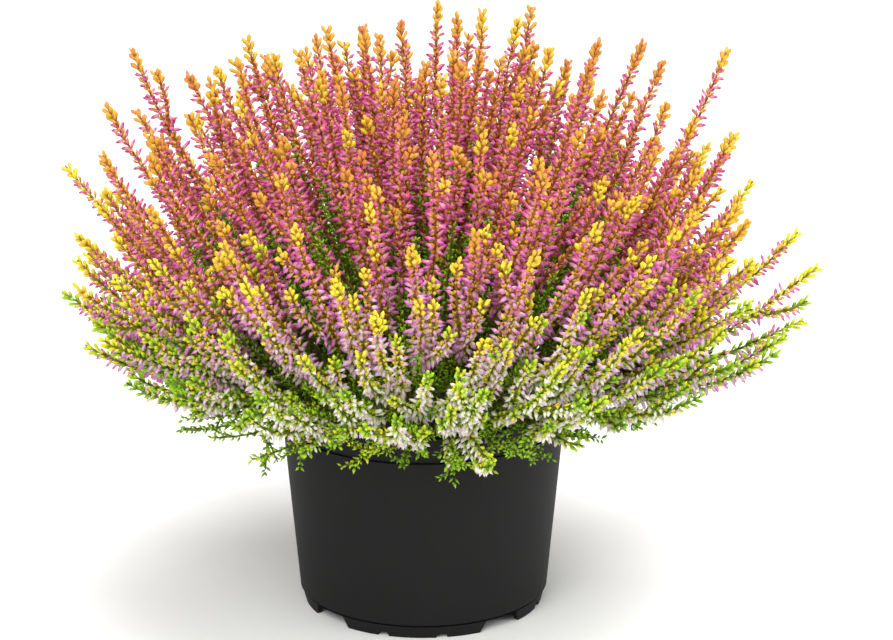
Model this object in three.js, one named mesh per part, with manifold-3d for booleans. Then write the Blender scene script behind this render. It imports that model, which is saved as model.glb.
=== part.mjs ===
// A heather in its nursery pot: a moulded pot, a root ball of peat with a hole for every stem, flowering
// branches that fan out into a dome of flower spikes, and leafy shoots that hang over the rim.
// Millimetres, +Z up. The origin is the centre of the circle that the pot's feet stand on.
// The front of the plant looks along -Y.
import * as THREE from "three";
import { mergeVertices } from "three/addons/utils/BufferGeometryUtils.js";
import Module from "manifold-3d";

const wasm = await Module();
wasm.setup();

// Pot: sizes of a 12 cm nursery pot
const POT_SIDES = 40;
const POT_HEIGHT = 89;
const RIM_RADIUS = 60;
const RIM_BAND = 9.5;
const RIM_STEP = 1.6;
const RIM_ROUND = 0.8;
const BAND_TAPER = 0.8;
const WALL = 1.4;
const BODY_TOP_RADIUS = 58;
const BODY_FOOT_RADIUS = 51.2;
const FOOT_HEIGHT = 6.1;
const FOOT_STEP = 0.6;
const FOOT_TOP_RADIUS = 50.4;
const FOOT_RADIUS = 49.2;
const FOOT_WIDTH = 2.4;
const FLOOR_UNDERSIDE = 5.6;
const FLOOR_TOP = 7.2;
const FEET = 4;
const FOOT_TURN = -5;
const FOOT_GAP_DEGREES = 22;
const FOOT_GAP_HEIGHT = 5;
const CUT_MARGIN = 2;
const NOTCH_RADIUS = 2.1;
const NOTCH_SIDES = 8;
const NOTCH_OFFSETS = [-14, 14];
const DRAIN_HOLES = 8;
const DRAIN_RADIUS = 3.2;
const DRAIN_CIRCLE = 33;
const CENTRE_DRAIN_RADIUS = 5;

// Root ball and the holes that the stems stand in
const SOIL_TOP = 77;
const CLEARANCE = 0.35;
const HOLE_RADIUS = 2.6;
const HOLE_DEPTH = 10;
const HOLE_SIDES = 4;
const NECK_RISE = 2;

// Crown of the plant, measured from the middle of the rim
const BRANCHES = 48;
const EVEN_SPIKES = 182;
const LOWEST_LEAN = 82;
const FRONT_LIFT = 0.07;
const CROWN_TOP_REACH = 158;
const CROWN_BULGE = 14;
const CROWN_BULGE_RATE = 2.1;
const CROWN_SKIRT = 10;
const CROWN_SKIRT_POWER = 6;
const SHORTEST_SPIKE = 0.84;
const ROOT_CIRCLE = 50;
const ROOT_CIRCLE_LEAN = 85;
const ROOT_CIRCLE_POWER = 0.8;
const ROOT_LEAN_SHARE = 0.2;
const STEM_HOLD = 0.5;
const SIDE_LEAN = 45;
const UPRIGHT_SHARE = 0.66;
const LOW_SHARE = 0.9;
const SPIKE_TURN = 0.12;
const FLOWERING_LENGTH = 76;
const LOW_FLOWERING_LENGTH = 55;
const OUTLINE_SPACING = 7;
const VIEW_ELEVATION = 21;

// The spikes that stand out in the outline: degrees from upright as seen from the front, reach in the
// plane of the outline, and degrees that they lean away from that plane, with + to the back.
const OUTLINE_SPIKES = [
  { side: -84, reach: 127, back: -12 },
  { side: -70.5, reach: 150, back: -6 },
  { side: -58, reach: 183, back: 20 },
  { side: -54, reach: 160, back: -8 },
  { side: -47.5, reach: 178, back: 2 },
  { side: -40.5, reach: 182, back: -5 },
  { side: -45, reach: 172, back: 14 },
  { side: -32, reach: 161, back: 3 },
  { side: -27, reach: 160, back: -7 },
  { side: -19, reach: 150, back: 2 },
  { side: -10, reach: 152, back: -5 },
  { side: -3.5, reach: 155, back: 5 },
  { side: 2.5, reach: 159, back: -5 },
  { side: 8.5, reach: 161, back: 5 },
  { side: 16, reach: 164, back: -4 },
  { side: 24.5, reach: 146, back: 4 },
  { side: 32, reach: 168, back: -5 },
  { side: 37.5, reach: 153, back: 8 },
  { side: 42, reach: 187, back: -3 },
  { side: 51, reach: 168, back: 3 },
  { side: 60.5, reach: 148, back: -7 },
  { side: 68, reach: 168, back: 4 },
  { side: 74.5, reach: 165, back: -14 },
  { side: 81, reach: 158, back: -4 },
  { side: 86, reach: 142, back: -20 },
  { side: 88, reach: 93, back: -50 },
];
// Directions in which the crown is thin and shows its inside: degrees from the front, lean and width
const OPENINGS = [{ azimuth: 6, lean: 56, width: 7 }];

// How a branch divides and flowers, as shares of the way from the soil to the tip
const FORK_FIRST = 0.1;
const FORK_LAST = 0.28;
const FORK_SPREAD = 0.3;
const FORK_OVERLAP = 0.02;
const TRUNK_FORK = 0.3;
const TRUNK_ROWS = [0.15, 0.3];
const FLOWERS_FROM = 0.46;
const FLOWERS_TO = 0.9;
const PATH_POINTS = 8;
const SMOOTHING_PASSES = 2;
const TRUNK_RADIUS = 1.5;
const STEM_RADIUS = 1;
const SIDE_ROOT_RADIUS = 0.55;
const CORE_RADIUS = 1.5;
const TIP_CORE_RADIUS = 1.2;
const FLORET_REACH = 4.8;
const TIP_LEAF_REACH = 3.2;
const FLORET_ROWS = 4;
const FLORET_FORWARD = 0.86;
const TIP_LEAF_FORWARD = 0.4;
const FLORET_SPIRAL = 0.4;
const FLORET_SIZES = [0.88, 1.08];
const STEM_SIDES = 3;
const FRAME_STEPS = 100;

// Leafy shoots that hang over the rim: degrees from the front and how high their tips hang
const SHOOT_ROOT_CIRCLE = 50.5;
const SHOOT_CREST = 100;
const SHOOT_REACH = 71;
const SHOOT_OUTWARD = 3;
const SHOOT_DROOP = 1;
const SHOOT_LEAF_REACH = 2.8;
const SHOOT_LEAF_FORWARD = 0.6;
const SHOOT_NECK = 0.22;
const SHOOT_LEAVES_FROM = 0.45;
const SHOOT_LEAVES_TO = 1;
const SHOOT_ROWS = 5;
const HANGING_SHOOTS = [
  { azimuth: -62, tip: 64 },
  { azimuth: 10, tip: 74 },
  { azimuth: 22, tip: 78 },
  { azimuth: 96, tip: 72 },
  { azimuth: 160, tip: 75 },
  { azimuth: -125, tip: 74 },
];

// Colours of the solids, and where on the dome one kind of flower gives way to the next
const TOP_FLOWERS = "#c8577a";
const SIDE_FLOWERS = "#c383b4";
const SKIRT_FLOWERS = "#d9cfd0";
const LEAVES = "#7ba32c";
const PEAT = "#3a2a20";
const TOP_FLOWERS_TO = 0.35;
const SKIRT_FLOWERS_FROM = 0.75;
const PLANT_ROUGHNESS = 0.8;

const GOLDEN_ANGLE = Math.PI * (3 - Math.sqrt(5));
const WELD = 1e-4;
const radians = THREE.MathUtils.degToRad;
const smoothstep = THREE.MathUtils.smoothstep;

// A repeatable number from 0 to 1 for one purpose of one numbered thing
function draw(index, purpose) {
  const value = Math.sin(index * 12.9898 + purpose * 78.233) * 43758.5453;
  return value - Math.floor(value);
}

const SEEDS_A_BRANCH = 50;
const SHOOT_SEED = 9000;
const DRAW_LENGTH = 1;
const DRAW_FORK = 2;
const DRAW_FLORET = 3;

// Joins the corners that share a place and drops the faces that this leaves without an area
function welded(geometry) {
  const bare = geometry.index ? geometry.clone() : geometry;
  for (const name of Object.keys(bare.attributes)) {
    if (name !== "position") bare.deleteAttribute(name);
  }
  const merged = mergeVertices(bare, WELD);
  const faces = [];
  for (let i = 0; i < merged.index.count; i += 3) {
    const [a, b, c] = [0, 1, 2].map((k) => merged.index.getX(i + k));
    if (a !== b && b !== c && c !== a) faces.push(a, b, c);
  }
  merged.setIndex(faces);
  return merged;
}

function solidOf(geometry) {
  const merged = welded(geometry);
  return new wasm.Manifold(
    new wasm.Mesh({
      numProp: 3,
      vertProperties: new Float32Array(merged.attributes.position.array),
      triVerts: new Uint32Array(merged.index.array),
    }),
  );
}

function meshOf(name, solid, finish) {
  const { vertProperties, triVerts } = solid.getMesh();
  const geometry = new THREE.BufferGeometry();
  geometry.setAttribute("position", new THREE.BufferAttribute(vertProperties, 3));
  geometry.setIndex(new THREE.BufferAttribute(triVerts, 1));
  geometry.computeVertexNormals();
  const mesh = new THREE.Mesh(geometry, new THREE.MeshStandardMaterial(finish));
  mesh.name = name;
  return mesh;
}

// Turns a profile of [radius, height] points round the Z axis
function turned(profile, sides) {
  const points = profile.map(([radius, height]) => new THREE.Vector2(radius, height));
  return new THREE.LatheGeometry(points, sides).rotateX(Math.PI / 2);
}

// A unit vector in the ground plane, by its angle from the front, with + to the right
function outward(azimuth) {
  return new THREE.Vector3(Math.sin(azimuth), -Math.cos(azimuth), 0);
}

function bodyRadius(height) {
  const share = (height - FOOT_HEIGHT) / (POT_HEIGHT - RIM_BAND - FOOT_HEIGHT);
  return THREE.MathUtils.lerp(BODY_FOOT_RADIUS, BODY_TOP_RADIUS, share);
}

// The pot's wall, floor, foot ring and rim in one closed profile
function potProfile() {
  const bandFoot = POT_HEIGHT - RIM_BAND;
  const bandRadius = RIM_RADIUS - BAND_TAPER;
  return [
    [FOOT_RADIUS - FOOT_WIDTH, 0],
    [FOOT_RADIUS, 0],
    [FOOT_TOP_RADIUS, FOOT_HEIGHT],
    [BODY_FOOT_RADIUS, FOOT_HEIGHT + FOOT_STEP],
    [BODY_TOP_RADIUS, bandFoot],
    [bandRadius, bandFoot + RIM_STEP],
    [RIM_RADIUS, POT_HEIGHT - RIM_ROUND],
    [RIM_RADIUS - RIM_ROUND, POT_HEIGHT],
    [RIM_RADIUS - WALL, POT_HEIGHT],
    [BODY_TOP_RADIUS - WALL, bandFoot],
    [bodyRadius(FLOOR_TOP) - WALL, FLOOR_TOP],
    [CENTRE_DRAIN_RADIUS, FLOOR_TOP],
    [CENTRE_DRAIN_RADIUS, FLOOR_UNDERSIDE],
    [FOOT_TOP_RADIUS - FOOT_WIDTH, FLOOR_UNDERSIDE],
    [FOOT_RADIUS - FOOT_WIDTH, 0],
  ];
}

// The block that parts two feet of the foot ring
function footGap(azimuth) {
  const half = radians(FOOT_GAP_DEGREES / 2);
  const front = -Math.PI / 2 + azimuth;
  const outline = new THREE.Shape();
  outline.absarc(0, 0, FOOT_TOP_RADIUS + CUT_MARGIN, front - half, front + half, false);
  outline.absarc(0, 0, FOOT_RADIUS - FOOT_WIDTH - CUT_MARGIN, front + half, front - half, true);
  outline.closePath();
  const depth = FOOT_GAP_HEIGHT + CUT_MARGIN;
  const block = new THREE.ExtrudeGeometry(outline, { depth, bevelEnabled: false, curveSegments: 2 });
  return block.translate(0, 0, -CUT_MARGIN);
}

// A small rounded notch through the bottom of a foot
function footNotch(azimuth) {
  const place = outward(azimuth).multiplyScalar(FOOT_RADIUS);
  const bore = new THREE.CylinderGeometry(NOTCH_RADIUS, NOTCH_RADIUS, 4 * FOOT_WIDTH, NOTCH_SIDES);
  return bore.rotateZ(azimuth).translate(place.x, place.y, 0);
}

function drainHole(azimuth) {
  const place = outward(azimuth).multiplyScalar(DRAIN_CIRCLE);
  const bore = new THREE.CylinderGeometry(DRAIN_RADIUS, DRAIN_RADIUS, FLOOR_TOP, 8);
  return bore.rotateX(Math.PI / 2).translate(place.x, place.y, FLOOR_UNDERSIDE + 1);
}

function buildPot() {
  let pot = solidOf(turned(potProfile(), POT_SIDES));
  for (let foot = 0; foot < FEET; foot += 1) {
    const middle = radians(FOOT_TURN + (foot * 360) / FEET);
    pot = pot.subtract(solidOf(footGap(middle + Math.PI / FEET)));
    for (const offset of NOTCH_OFFSETS) {
      pot = pot.subtract(solidOf(footNotch(middle + radians(offset))));
    }
  }
  for (let hole = 0; hole < DRAIN_HOLES; hole += 1) {
    pot = pot.subtract(solidOf(drainHole((hole * 2 * Math.PI) / DRAIN_HOLES)));
  }
  return meshOf("pot", pot, { color: "#2e2d2c", roughness: 0.55, metalness: 0 });
}

// How far the crown reaches from the middle of the rim, by the lean from upright
function crownReach(lean) {
  const skirt = CROWN_SKIRT * (lean / radians(ROOT_CIRCLE_LEAN)) ** CROWN_SKIRT_POWER;
  return CROWN_TOP_REACH + CROWN_BULGE * Math.sin(CROWN_BULGE_RATE * lean) - skirt;
}

// A cubic curve in the upright plane of a stem, between two [radius, height] places with the lean that it
// has at each of them
function bend(from, fromLean, to, toLean, hold) {
  const span = hold * from.distanceTo(to);
  return new THREE.CubicBezierCurve(
    from,
    from.clone().add(new THREE.Vector2(Math.sin(fromLean), Math.cos(fromLean)).multiplyScalar(span)),
    to.clone().sub(new THREE.Vector2(Math.sin(toLean), Math.cos(toLean)).multiplyScalar(span)),
    to,
  );
}

// Where a stem that leads in a direction stands at a share of its way: it rises from the soil, arches
// over the rim to where its flowers begin, and turns up towards its tip.
function stemPoint(direction, reach, share) {
  const lean = Math.acos(THREE.MathUtils.clamp(direction.z, -1, 1));
  const away = new THREE.Vector3(direction.x, direction.y, 0).normalize();
  const low = smoothstep(lean, radians(SIDE_LEAN), radians(ROOT_CIRCLE_LEAN));
  const spikeLean = lean * THREE.MathUtils.lerp(UPRIGHT_SHARE, LOW_SHARE, low);
  const turn = SPIKE_TURN * lean;
  const flowering = THREE.MathUtils.lerp(FLOWERING_LENGTH, LOW_FLOWERING_LENGTH, low);
  const rootRadius = ROOT_CIRCLE * Math.sin((lean * 90) / ROOT_CIRCLE_LEAN) ** ROOT_CIRCLE_POWER;
  const root = new THREE.Vector2(rootRadius, SOIL_TOP);
  const tip = new THREE.Vector2(reach * Math.sin(lean), POT_HEIGHT + reach * Math.cos(lean));
  const along = new THREE.Vector2(Math.sin(spikeLean), Math.cos(spikeLean));
  const start = tip.clone().addScaledVector(along, -flowering);
  const stem = bend(root, ROOT_LEAN_SHARE * lean, start, spikeLean + turn, STEM_HOLD);
  const spike = bend(start, spikeLean + turn, tip, spikeLean - turn, 1 / 3);
  const place =
    share < FLOWERS_FROM
      ? stem.getPoint(share / FLOWERS_FROM)
      : spike.getPoint((share - FLOWERS_FROM) / (1 - FLOWERS_FROM));
  return away.multiplyScalar(place.x).setZ(place.y);
}

// A direction from upright in the plane that the front view sees the outline in, and behind it
function outlineDirection({ side, back }) {
  const view = new THREE.Vector3(0, Math.cos(radians(VIEW_ELEVATION)), -Math.sin(radians(VIEW_ELEVATION)));
  const up = new THREE.Vector3(0, Math.sin(radians(VIEW_ELEVATION)), Math.cos(radians(VIEW_ELEVATION)));
  const inPlane = up.multiplyScalar(Math.cos(radians(side)));
  inPlane.x = Math.sin(radians(side));
  return inPlane.multiplyScalar(Math.cos(radians(back))).addScaledVector(view, Math.sin(radians(back)));
}

function directionOf(azimuth, lean) {
  return outward(azimuth).multiplyScalar(Math.sin(lean)).setZ(Math.cos(lean));
}

// The spikes of the outline, then spikes spread evenly over the dome wherever no other stands close
function layOutSpikes() {
  const spikes = OUTLINE_SPIKES.map((spike) => ({
    direction: outlineDirection(spike),
    reach: spike.reach / Math.cos(radians(spike.back)),
    end: 1,
  }));
  const openings = OPENINGS.map(({ azimuth, lean, width }) => ({
    direction: directionOf(radians(azimuth), radians(lean)),
    width: radians(width),
  }));
  const leaders = spikes.length;
  const lowest = Math.cos(radians(LOWEST_LEAN));
  for (let i = 0; i < EVEN_SPIKES; i += 1) {
    const azimuth = (i * GOLDEN_ANGLE) % (2 * Math.PI);
    const level = Math.acos(1 - ((i + 0.5) / EVEN_SPIKES) * (1 - lowest));
    const lean = level * (1 - FRONT_LIFT * Math.max(0, Math.cos(azimuth)));
    const direction = directionOf(azimuth, lean);
    const crowded = spikes
      .slice(0, leaders)
      .some((spike) => spike.direction.angleTo(direction) < radians(OUTLINE_SPACING));
    if (crowded || openings.some((gap) => gap.direction.angleTo(direction) < gap.width)) continue;
    const end = THREE.MathUtils.lerp(SHORTEST_SPIKE, 1, draw(i, DRAW_LENGTH));
    spikes.push({ direction, reach: crownReach(lean), end });
  }
  return spikes;
}

// Shares the spikes out among branches that lead in evenly spread directions
function groupSpikes(spikes) {
  const branches = [];
  for (let i = 0; i < BRANCHES; i += 1) {
    const level = Math.acos(1 - ((i + 0.5) / BRANCHES) * (1 - Math.cos(radians(LOWEST_LEAN))));
    branches.push({ direction: directionOf(i * GOLDEN_ANGLE, level), spikes: [] });
  }
  for (const spike of spikes) {
    const angles = branches.map((branch) => branch.direction.angleTo(spike.direction));
    branches[angles.indexOf(Math.min(...angles))].spikes.push(spike);
  }
  const used = branches.filter((branch) => branch.spikes.length > 0);
  for (const branch of used) {
    branch.direction = new THREE.Vector3();
    for (const spike of branch.spikes) branch.direction.add(spike.direction);
    branch.direction.normalize();
    branch.reach = branch.spikes.reduce((sum, spike) => sum + spike.reach, 0) / branch.spikes.length;
    branch.spikes.sort(
      (a, b) => a.direction.angleTo(branch.direction) - b.direction.angleTo(branch.direction),
    );
  }
  return used;
}

// Moves each inner point of a path halfway to the middle of its neighbours
function smoothInside(points) {
  for (let i = 1; i < points.length - 1; i += 1) {
    const middle = points[i - 1].clone().add(points[i + 1]).multiplyScalar(0.5);
    points[i].lerp(middle, 0.5);
  }
}

// The way of one spike: along its branch up to a fork, then over to its own direction
function spikeCurve(branch, spike, fork, from) {
  const points = [];
  for (let i = 0; i <= PATH_POINTS; i += 1) {
    const share = THREE.MathUtils.lerp(from, spike.end, i / PATH_POINTS);
    const turn = smoothstep(share, fork, fork + FORK_SPREAD);
    const direction = branch.direction.clone().lerp(spike.direction, turn).normalize();
    const reach = THREE.MathUtils.lerp(branch.reach, spike.reach, turn);
    points.push(stemPoint(direction, reach, share));
  }
  const passes = spike === branch.spikes[0] ? 0 : SMOOTHING_PASSES;
  for (let pass = 0; pass < passes; pass += 1) smoothInside(points);
  return new THREE.CatmullRomCurve3(points);
}

// A three-sided stem along a curve with the given rows of { at, radius, reach, forward, spiral }, where at
// is a share of the curve. A row with a reach raises every other face above it into a pointed floret, whose
// point stands forward on its face, and a spiral sets its corners one after another along the stem.
function floretStem(curve, rows, seed) {
  const cone = welded(new THREE.ConeGeometry(1, rows.length, STEM_SIDES, rows.length));
  const place = cone.attributes.position;
  const frames = curve.computeFrenetFrames(FRAME_STEPS, false);
  const corners = [];
  for (let i = 0; i < place.count; i += 1) {
    const row = Math.round(place.getY(i) + rows.length / 2);
    const { at, radius, spiral } = rows[row] ?? { at: 1, radius: 0, spiral: 0 };
    const onAxis = Math.hypot(place.getX(i), place.getZ(i)) < WELD;
    const side = Math.atan2(place.getX(i), place.getZ(i));
    const angle = side - (row * Math.PI) / STEM_SIDES;
    const along = onAxis ? at : at + ((spiral ?? 0) * side) / (2 * Math.PI);
    const frame = Math.round(along * FRAME_STEPS);
    const point = curve
      .getPointAt(along)
      .addScaledVector(frames.normals[frame], onAxis ? 0 : radius * Math.cos(angle))
      .addScaledVector(frames.binormals[frame], onAxis ? 0 : radius * Math.sin(angle));
    corners.push({ row, along, point });
  }
  const faces = [];
  for (let i = 0; i < cone.index.count; i += 3) {
    const face = [0, 1, 2].map((k) => cone.index.getX(i + k));
    const lowest = Math.min(...face.map((k) => corners[k].row));
    const lower = face.filter((k) => corners[k].row === lowest);
    const style = rows[lowest];
    if (!style?.reach || lower.length !== 2) {
      faces.push(...face);
      continue;
    }
    const middle = new THREE.Vector3();
    for (const k of face) middle.addScaledVector(corners[k].point, 1 / face.length);
    const centre = face.reduce((sum, k) => sum + corners[k].along, 0) / face.length;
    const foot = (corners[lower[0]].along + corners[lower[1]].along) / 2;
    const top = corners[face.find((k) => corners[k].row !== lowest)].along;
    const away = middle.sub(curve.getPointAt(centre)).normalize();
    const reach = style.reach * THREE.MathUtils.lerp(...FLORET_SIZES, draw(seed + i, DRAW_FLORET));
    const point = curve.getPointAt(THREE.MathUtils.lerp(foot, top, style.forward));
    const apex = corners.push({ point: point.addScaledVector(away, reach) }) - 1;
    face.forEach((k, n) => faces.push(k, face[(n + 1) % 3], apex));
  }
  const geometry = new THREE.BufferGeometry().setFromPoints(corners.map((corner) => corner.point));
  geometry.setIndex(faces);
  return geometry;
}

// Rows for a spike: its bare stem, the florets up to its leafy tip, and the tip's leaves
function spikeRows(stem, flowersFrom) {
  const rows = [...stem];
  const pitch = (FLOWERS_TO - flowersFrom) / FLORET_ROWS;
  for (let i = 0; i < FLORET_ROWS; i += 1) {
    rows.push({
      at: flowersFrom + i * pitch,
      radius: CORE_RADIUS,
      reach: FLORET_REACH,
      forward: FLORET_FORWARD,
      spiral: FLORET_SPIRAL * pitch,
    });
  }
  rows.push({ at: FLOWERS_TO, radius: TIP_CORE_RADIUS, reach: TIP_LEAF_REACH, forward: TIP_LEAF_FORWARD });
  return rows;
}

function buildBranch(branch, index) {
  const pieces = branch.spikes.map((spike, order) => {
    const seed = index * SEEDS_A_BRANCH + order;
    const isTrunk = order === 0;
    const chosen = THREE.MathUtils.lerp(FORK_FIRST, FORK_LAST, draw(seed, DRAW_FORK));
    const fork = isTrunk ? TRUNK_FORK : chosen;
    const from = isTrunk ? 0 : fork - FORK_OVERLAP;
    const curve = spikeCurve(branch, spike, fork, from);
    if (!isTrunk) {
      const flowersFrom = (FLOWERS_FROM - from) / (spike.end - from);
      return floretStem(curve, spikeRows([{ at: 0, radius: SIDE_ROOT_RADIUS }], flowersFrom), seed);
    }
    const ground = curve.points[0].clone();
    const foot = ground.clone().setZ(SOIL_TOP - HOLE_DEPTH + CLEARANCE);
    const neck = ground.clone().setZ(SOIL_TOP + NECK_RISE);
    curve.points.splice(0, 1, foot, neck);
    const length = curve.getLength();
    const neckAt = (neck.z - foot.z) / length;
    const flowersFrom = neckAt + (1 - neckAt) * (FLOWERS_FROM / spike.end);
    const trunkRows = [0, neckAt, ...TRUNK_ROWS.map((share) => neckAt + (1 - neckAt) * share)];
    const stem = trunkRows.map((at) => ({ at, radius: TRUNK_RADIUS }));
    return floretStem(curve, spikeRows(stem, flowersFrom), seed);
  });
  const [trunk, ...sides] = pieces.map(solidOf);
  return sides.reduce((whole, side) => whole.add(side), trunk);
}

// The middle of a branch's spikes tells its colour: red and rose at the top, white and lilac at the skirt
function branchColour(branch) {
  const lean = Math.acos(branch.direction.z) / radians(LOWEST_LEAN);
  const top = new THREE.Color(TOP_FLOWERS);
  const middle = new THREE.Color(SIDE_FLOWERS);
  const skirt = new THREE.Color(SKIRT_FLOWERS);
  const share = smoothstep(lean, TOP_FLOWERS_TO, SKIRT_FLOWERS_FROM);
  return top.lerp(middle, share).lerp(skirt, smoothstep(lean, SKIRT_FLOWERS_FROM, 1));
}

function shootCurve({ azimuth, tip }) {
  const away = outward(radians(azimuth));
  const curve = new THREE.CubicBezierCurve(
    new THREE.Vector2(SHOOT_ROOT_CIRCLE, SOIL_TOP),
    new THREE.Vector2(SHOOT_ROOT_CIRCLE + SHOOT_OUTWARD, SHOOT_CREST),
    new THREE.Vector2(SHOOT_REACH, SHOOT_CREST),
    new THREE.Vector2(SHOOT_REACH + SHOOT_DROOP, tip),
  );
  const points = curve.getPoints(PATH_POINTS).map((p) => away.clone().multiplyScalar(p.x).setZ(p.y));
  const foot = points[0].clone().setZ(SOIL_TOP - HOLE_DEPTH + CLEARANCE);
  const neck = points[0].clone().setZ(SOIL_TOP + NECK_RISE);
  points.splice(0, 1, foot, neck);
  return new THREE.CatmullRomCurve3(points);
}

function buildShoot(shoot, index) {
  const curve = shootCurve(shoot);
  const rows = [0, SHOOT_NECK].map((at) => ({ at, radius: STEM_RADIUS }));
  const pitch = (SHOOT_LEAVES_TO - SHOOT_LEAVES_FROM) / SHOOT_ROWS;
  for (let i = 0; i < SHOOT_ROWS; i += 1) {
    rows.push({
      at: SHOOT_LEAVES_FROM + i * pitch,
      radius: STEM_RADIUS,
      reach: SHOOT_LEAF_REACH,
      forward: SHOOT_LEAF_FORWARD,
    });
  }
  return solidOf(floretStem(curve, rows, SHOOT_SEED + index * SEEDS_A_BRANCH));
}

// The hole for a stem, from below the soil's surface to above it
function stemHole(x, y) {
  const bore = new THREE.CylinderGeometry(HOLE_RADIUS, HOLE_RADIUS, 2 * HOLE_DEPTH, HOLE_SIDES);
  return bore.rotateX(Math.PI / 2).translate(x, y, SOIL_TOP);
}

function buildSoil(places) {
  const floor = FLOOR_TOP + CLEARANCE;
  const profile = [
    [0, floor],
    [bodyRadius(floor) - WALL - CLEARANCE, floor],
    [bodyRadius(SOIL_TOP) - WALL - CLEARANCE, SOIL_TOP],
    [0, SOIL_TOP],
  ];
  let soil = solidOf(turned(profile, POT_SIDES));
  for (const { x, y } of places) soil = soil.subtract(solidOf(stemHole(x, y)));
  return meshOf("soil", soil, { color: PEAT, roughness: 1, metalness: 0 });
}

const twoDigits = (number) => String(number).padStart(2, "0");
const heather = new THREE.Group();
const branches = groupSpikes(layOutSpikes());
const roots = [
  ...branches.map((branch) => stemPoint(branch.direction, 1, 0)),
  ...HANGING_SHOOTS.map(({ azimuth }) => outward(radians(azimuth)).multiplyScalar(SHOOT_ROOT_CIRCLE)),
];
heather.add(buildPot(), buildSoil(roots));
branches.forEach((branch, index) => {
  const finish = { color: branchColour(branch), roughness: PLANT_ROUGHNESS, metalness: 0 };
  heather.add(meshOf(`flowering_branch_${twoDigits(index + 1)}`, buildBranch(branch, index), finish));
});
HANGING_SHOOTS.forEach((shoot, index) => {
  const finish = { color: LEAVES, roughness: PLANT_ROUGHNESS, metalness: 0 };
  heather.add(meshOf(`leafy_shoot_${index + 1}`, buildShoot(shoot, index), finish));
});

export default heather;
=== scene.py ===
"""Dresses a potted heather: a moulded nursery pot, its root ball of peat, branches of flower spikes that
fan out into a dome, green shoots among them and sprigs that hang over the rim.

Sizes are millimetres and degrees unless a name says otherwise, +Z is up and the front looks along -Y.
Meshes are made in metres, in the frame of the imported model.
"""

import logging
import math
from dataclasses import dataclass, field
from enum import Enum

import bpy
import numpy as np
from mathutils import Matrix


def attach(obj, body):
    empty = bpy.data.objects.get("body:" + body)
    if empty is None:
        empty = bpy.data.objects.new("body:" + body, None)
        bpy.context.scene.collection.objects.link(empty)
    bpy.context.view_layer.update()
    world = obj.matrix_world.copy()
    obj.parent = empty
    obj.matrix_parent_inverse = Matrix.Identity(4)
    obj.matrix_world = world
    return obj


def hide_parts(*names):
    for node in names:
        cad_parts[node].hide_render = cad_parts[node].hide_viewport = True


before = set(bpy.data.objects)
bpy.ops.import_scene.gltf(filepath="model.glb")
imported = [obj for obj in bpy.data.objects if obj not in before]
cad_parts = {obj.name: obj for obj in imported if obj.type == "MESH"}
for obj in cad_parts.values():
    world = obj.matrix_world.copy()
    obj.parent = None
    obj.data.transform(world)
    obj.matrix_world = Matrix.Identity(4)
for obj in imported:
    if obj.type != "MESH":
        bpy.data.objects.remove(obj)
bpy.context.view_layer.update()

MM = 0.001
BODY = "root"
TISSUE_MAP = "OFBake"
GOLDEN_ANGLE = math.pi * (3 - math.sqrt(5))
UP = np.array([0.0, 0.0, 1.0])

# A repeatable draw: its three factors, and the purposes that it is made for
DRAW_FACTORS = (12.9898, 78.233, 43758.5453)
DRAW_LENGTH = 1
DRAW_FORK = 2

# The tissue map: where a strip begins, its width, its range of tones, and how far neighbours stand apart
STRIP_START = 0.01
STRIP_WIDTH = 0.31
TONE_RANGE = (0.02, 0.98)
TONE_SPREAD = 0.012

# Two corners this near are one, in millimetres, and a corner this near to a place is at it, in shares
MERGE_DISTANCE = 0.01
TOLERANCE = 1e-5
# A direction steeper than this is set against the X axis and not against the upright
STEEP = 0.9
# Keeps the level direction across a line defined where the line is upright
NUDGE = np.array([1e-3, 2e-3, 0])
# Points for each stretch between the knots of a short line
COARSE_STEPS = 3
STEM_SIDES = 4
SHAPE_SIDES = 4
SCALE_SIDES = 3
# Where the rings of a stem lie between root and tip on its ramp, by turns, so that its scales show: the dark
# rings are painted shade in the grooves between scales
RING_PLACES_WITH_GROOVE_SHADE = (0.25, 0.85)

# Lower and upper ring of each small shape: height as a share of its length, radius as a share of its width
BUD_RINGS = ((0.26, 0.92), (0.74, 0.78))
PLAIN_BUD_RINGS = ((0.52, 1.0), (1.0, 0.0))
TIP_LEAF_RINGS = ((0.3, 0.66), (0.74, 1.0))
STEM_LEAF_RINGS = ((0.5, 1.0), (1.0, 0.0))
SCALE_RINGS = ((0.55, 1.0), (1.0, 0.0))
CRUMB_RINGS = ((0.25, 1.0), (0.7, 0.85))

log = logging.getLogger("heather")


# Numbers, colours and nodes


def draw(index: int, purpose: int) -> float:
    """A repeatable number from 0 to 1 for one purpose of one numbered thing."""
    step, shift, spread = DRAW_FACTORS
    value = math.sin(index * step + purpose * shift) * spread
    return value - math.floor(value)


def smoothstep(value: np.ndarray, low: float, high: float) -> np.ndarray:
    """Goes smoothly from 0 at low to 1 at high."""
    share = np.clip((value - low) / (high - low), 0, 1)
    return share * share * (3 - 2 * share)


def lerp(start: float, end: float, share: np.ndarray) -> np.ndarray:
    """The value at a share of the way from start to end."""
    return start + (end - start) * share


def unit(vectors: np.ndarray) -> np.ndarray:
    """Vectors brought to length 1, along their last axis."""
    return vectors / np.linalg.norm(vectors, axis=-1, keepdims=True)


def linear(colour: str) -> tuple[float, float, float, float]:
    """The linear colour with alpha of an sRGB hex value."""
    shares = [int(colour[i : i + 2], 16) / 255 for i in (1, 3, 5)]
    red, green, blue = (s / 12.92 if s <= 0.04045 else ((s + 0.055) / 1.055) ** 2.4 for s in shares)
    return red, green, blue, 1.0


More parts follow.
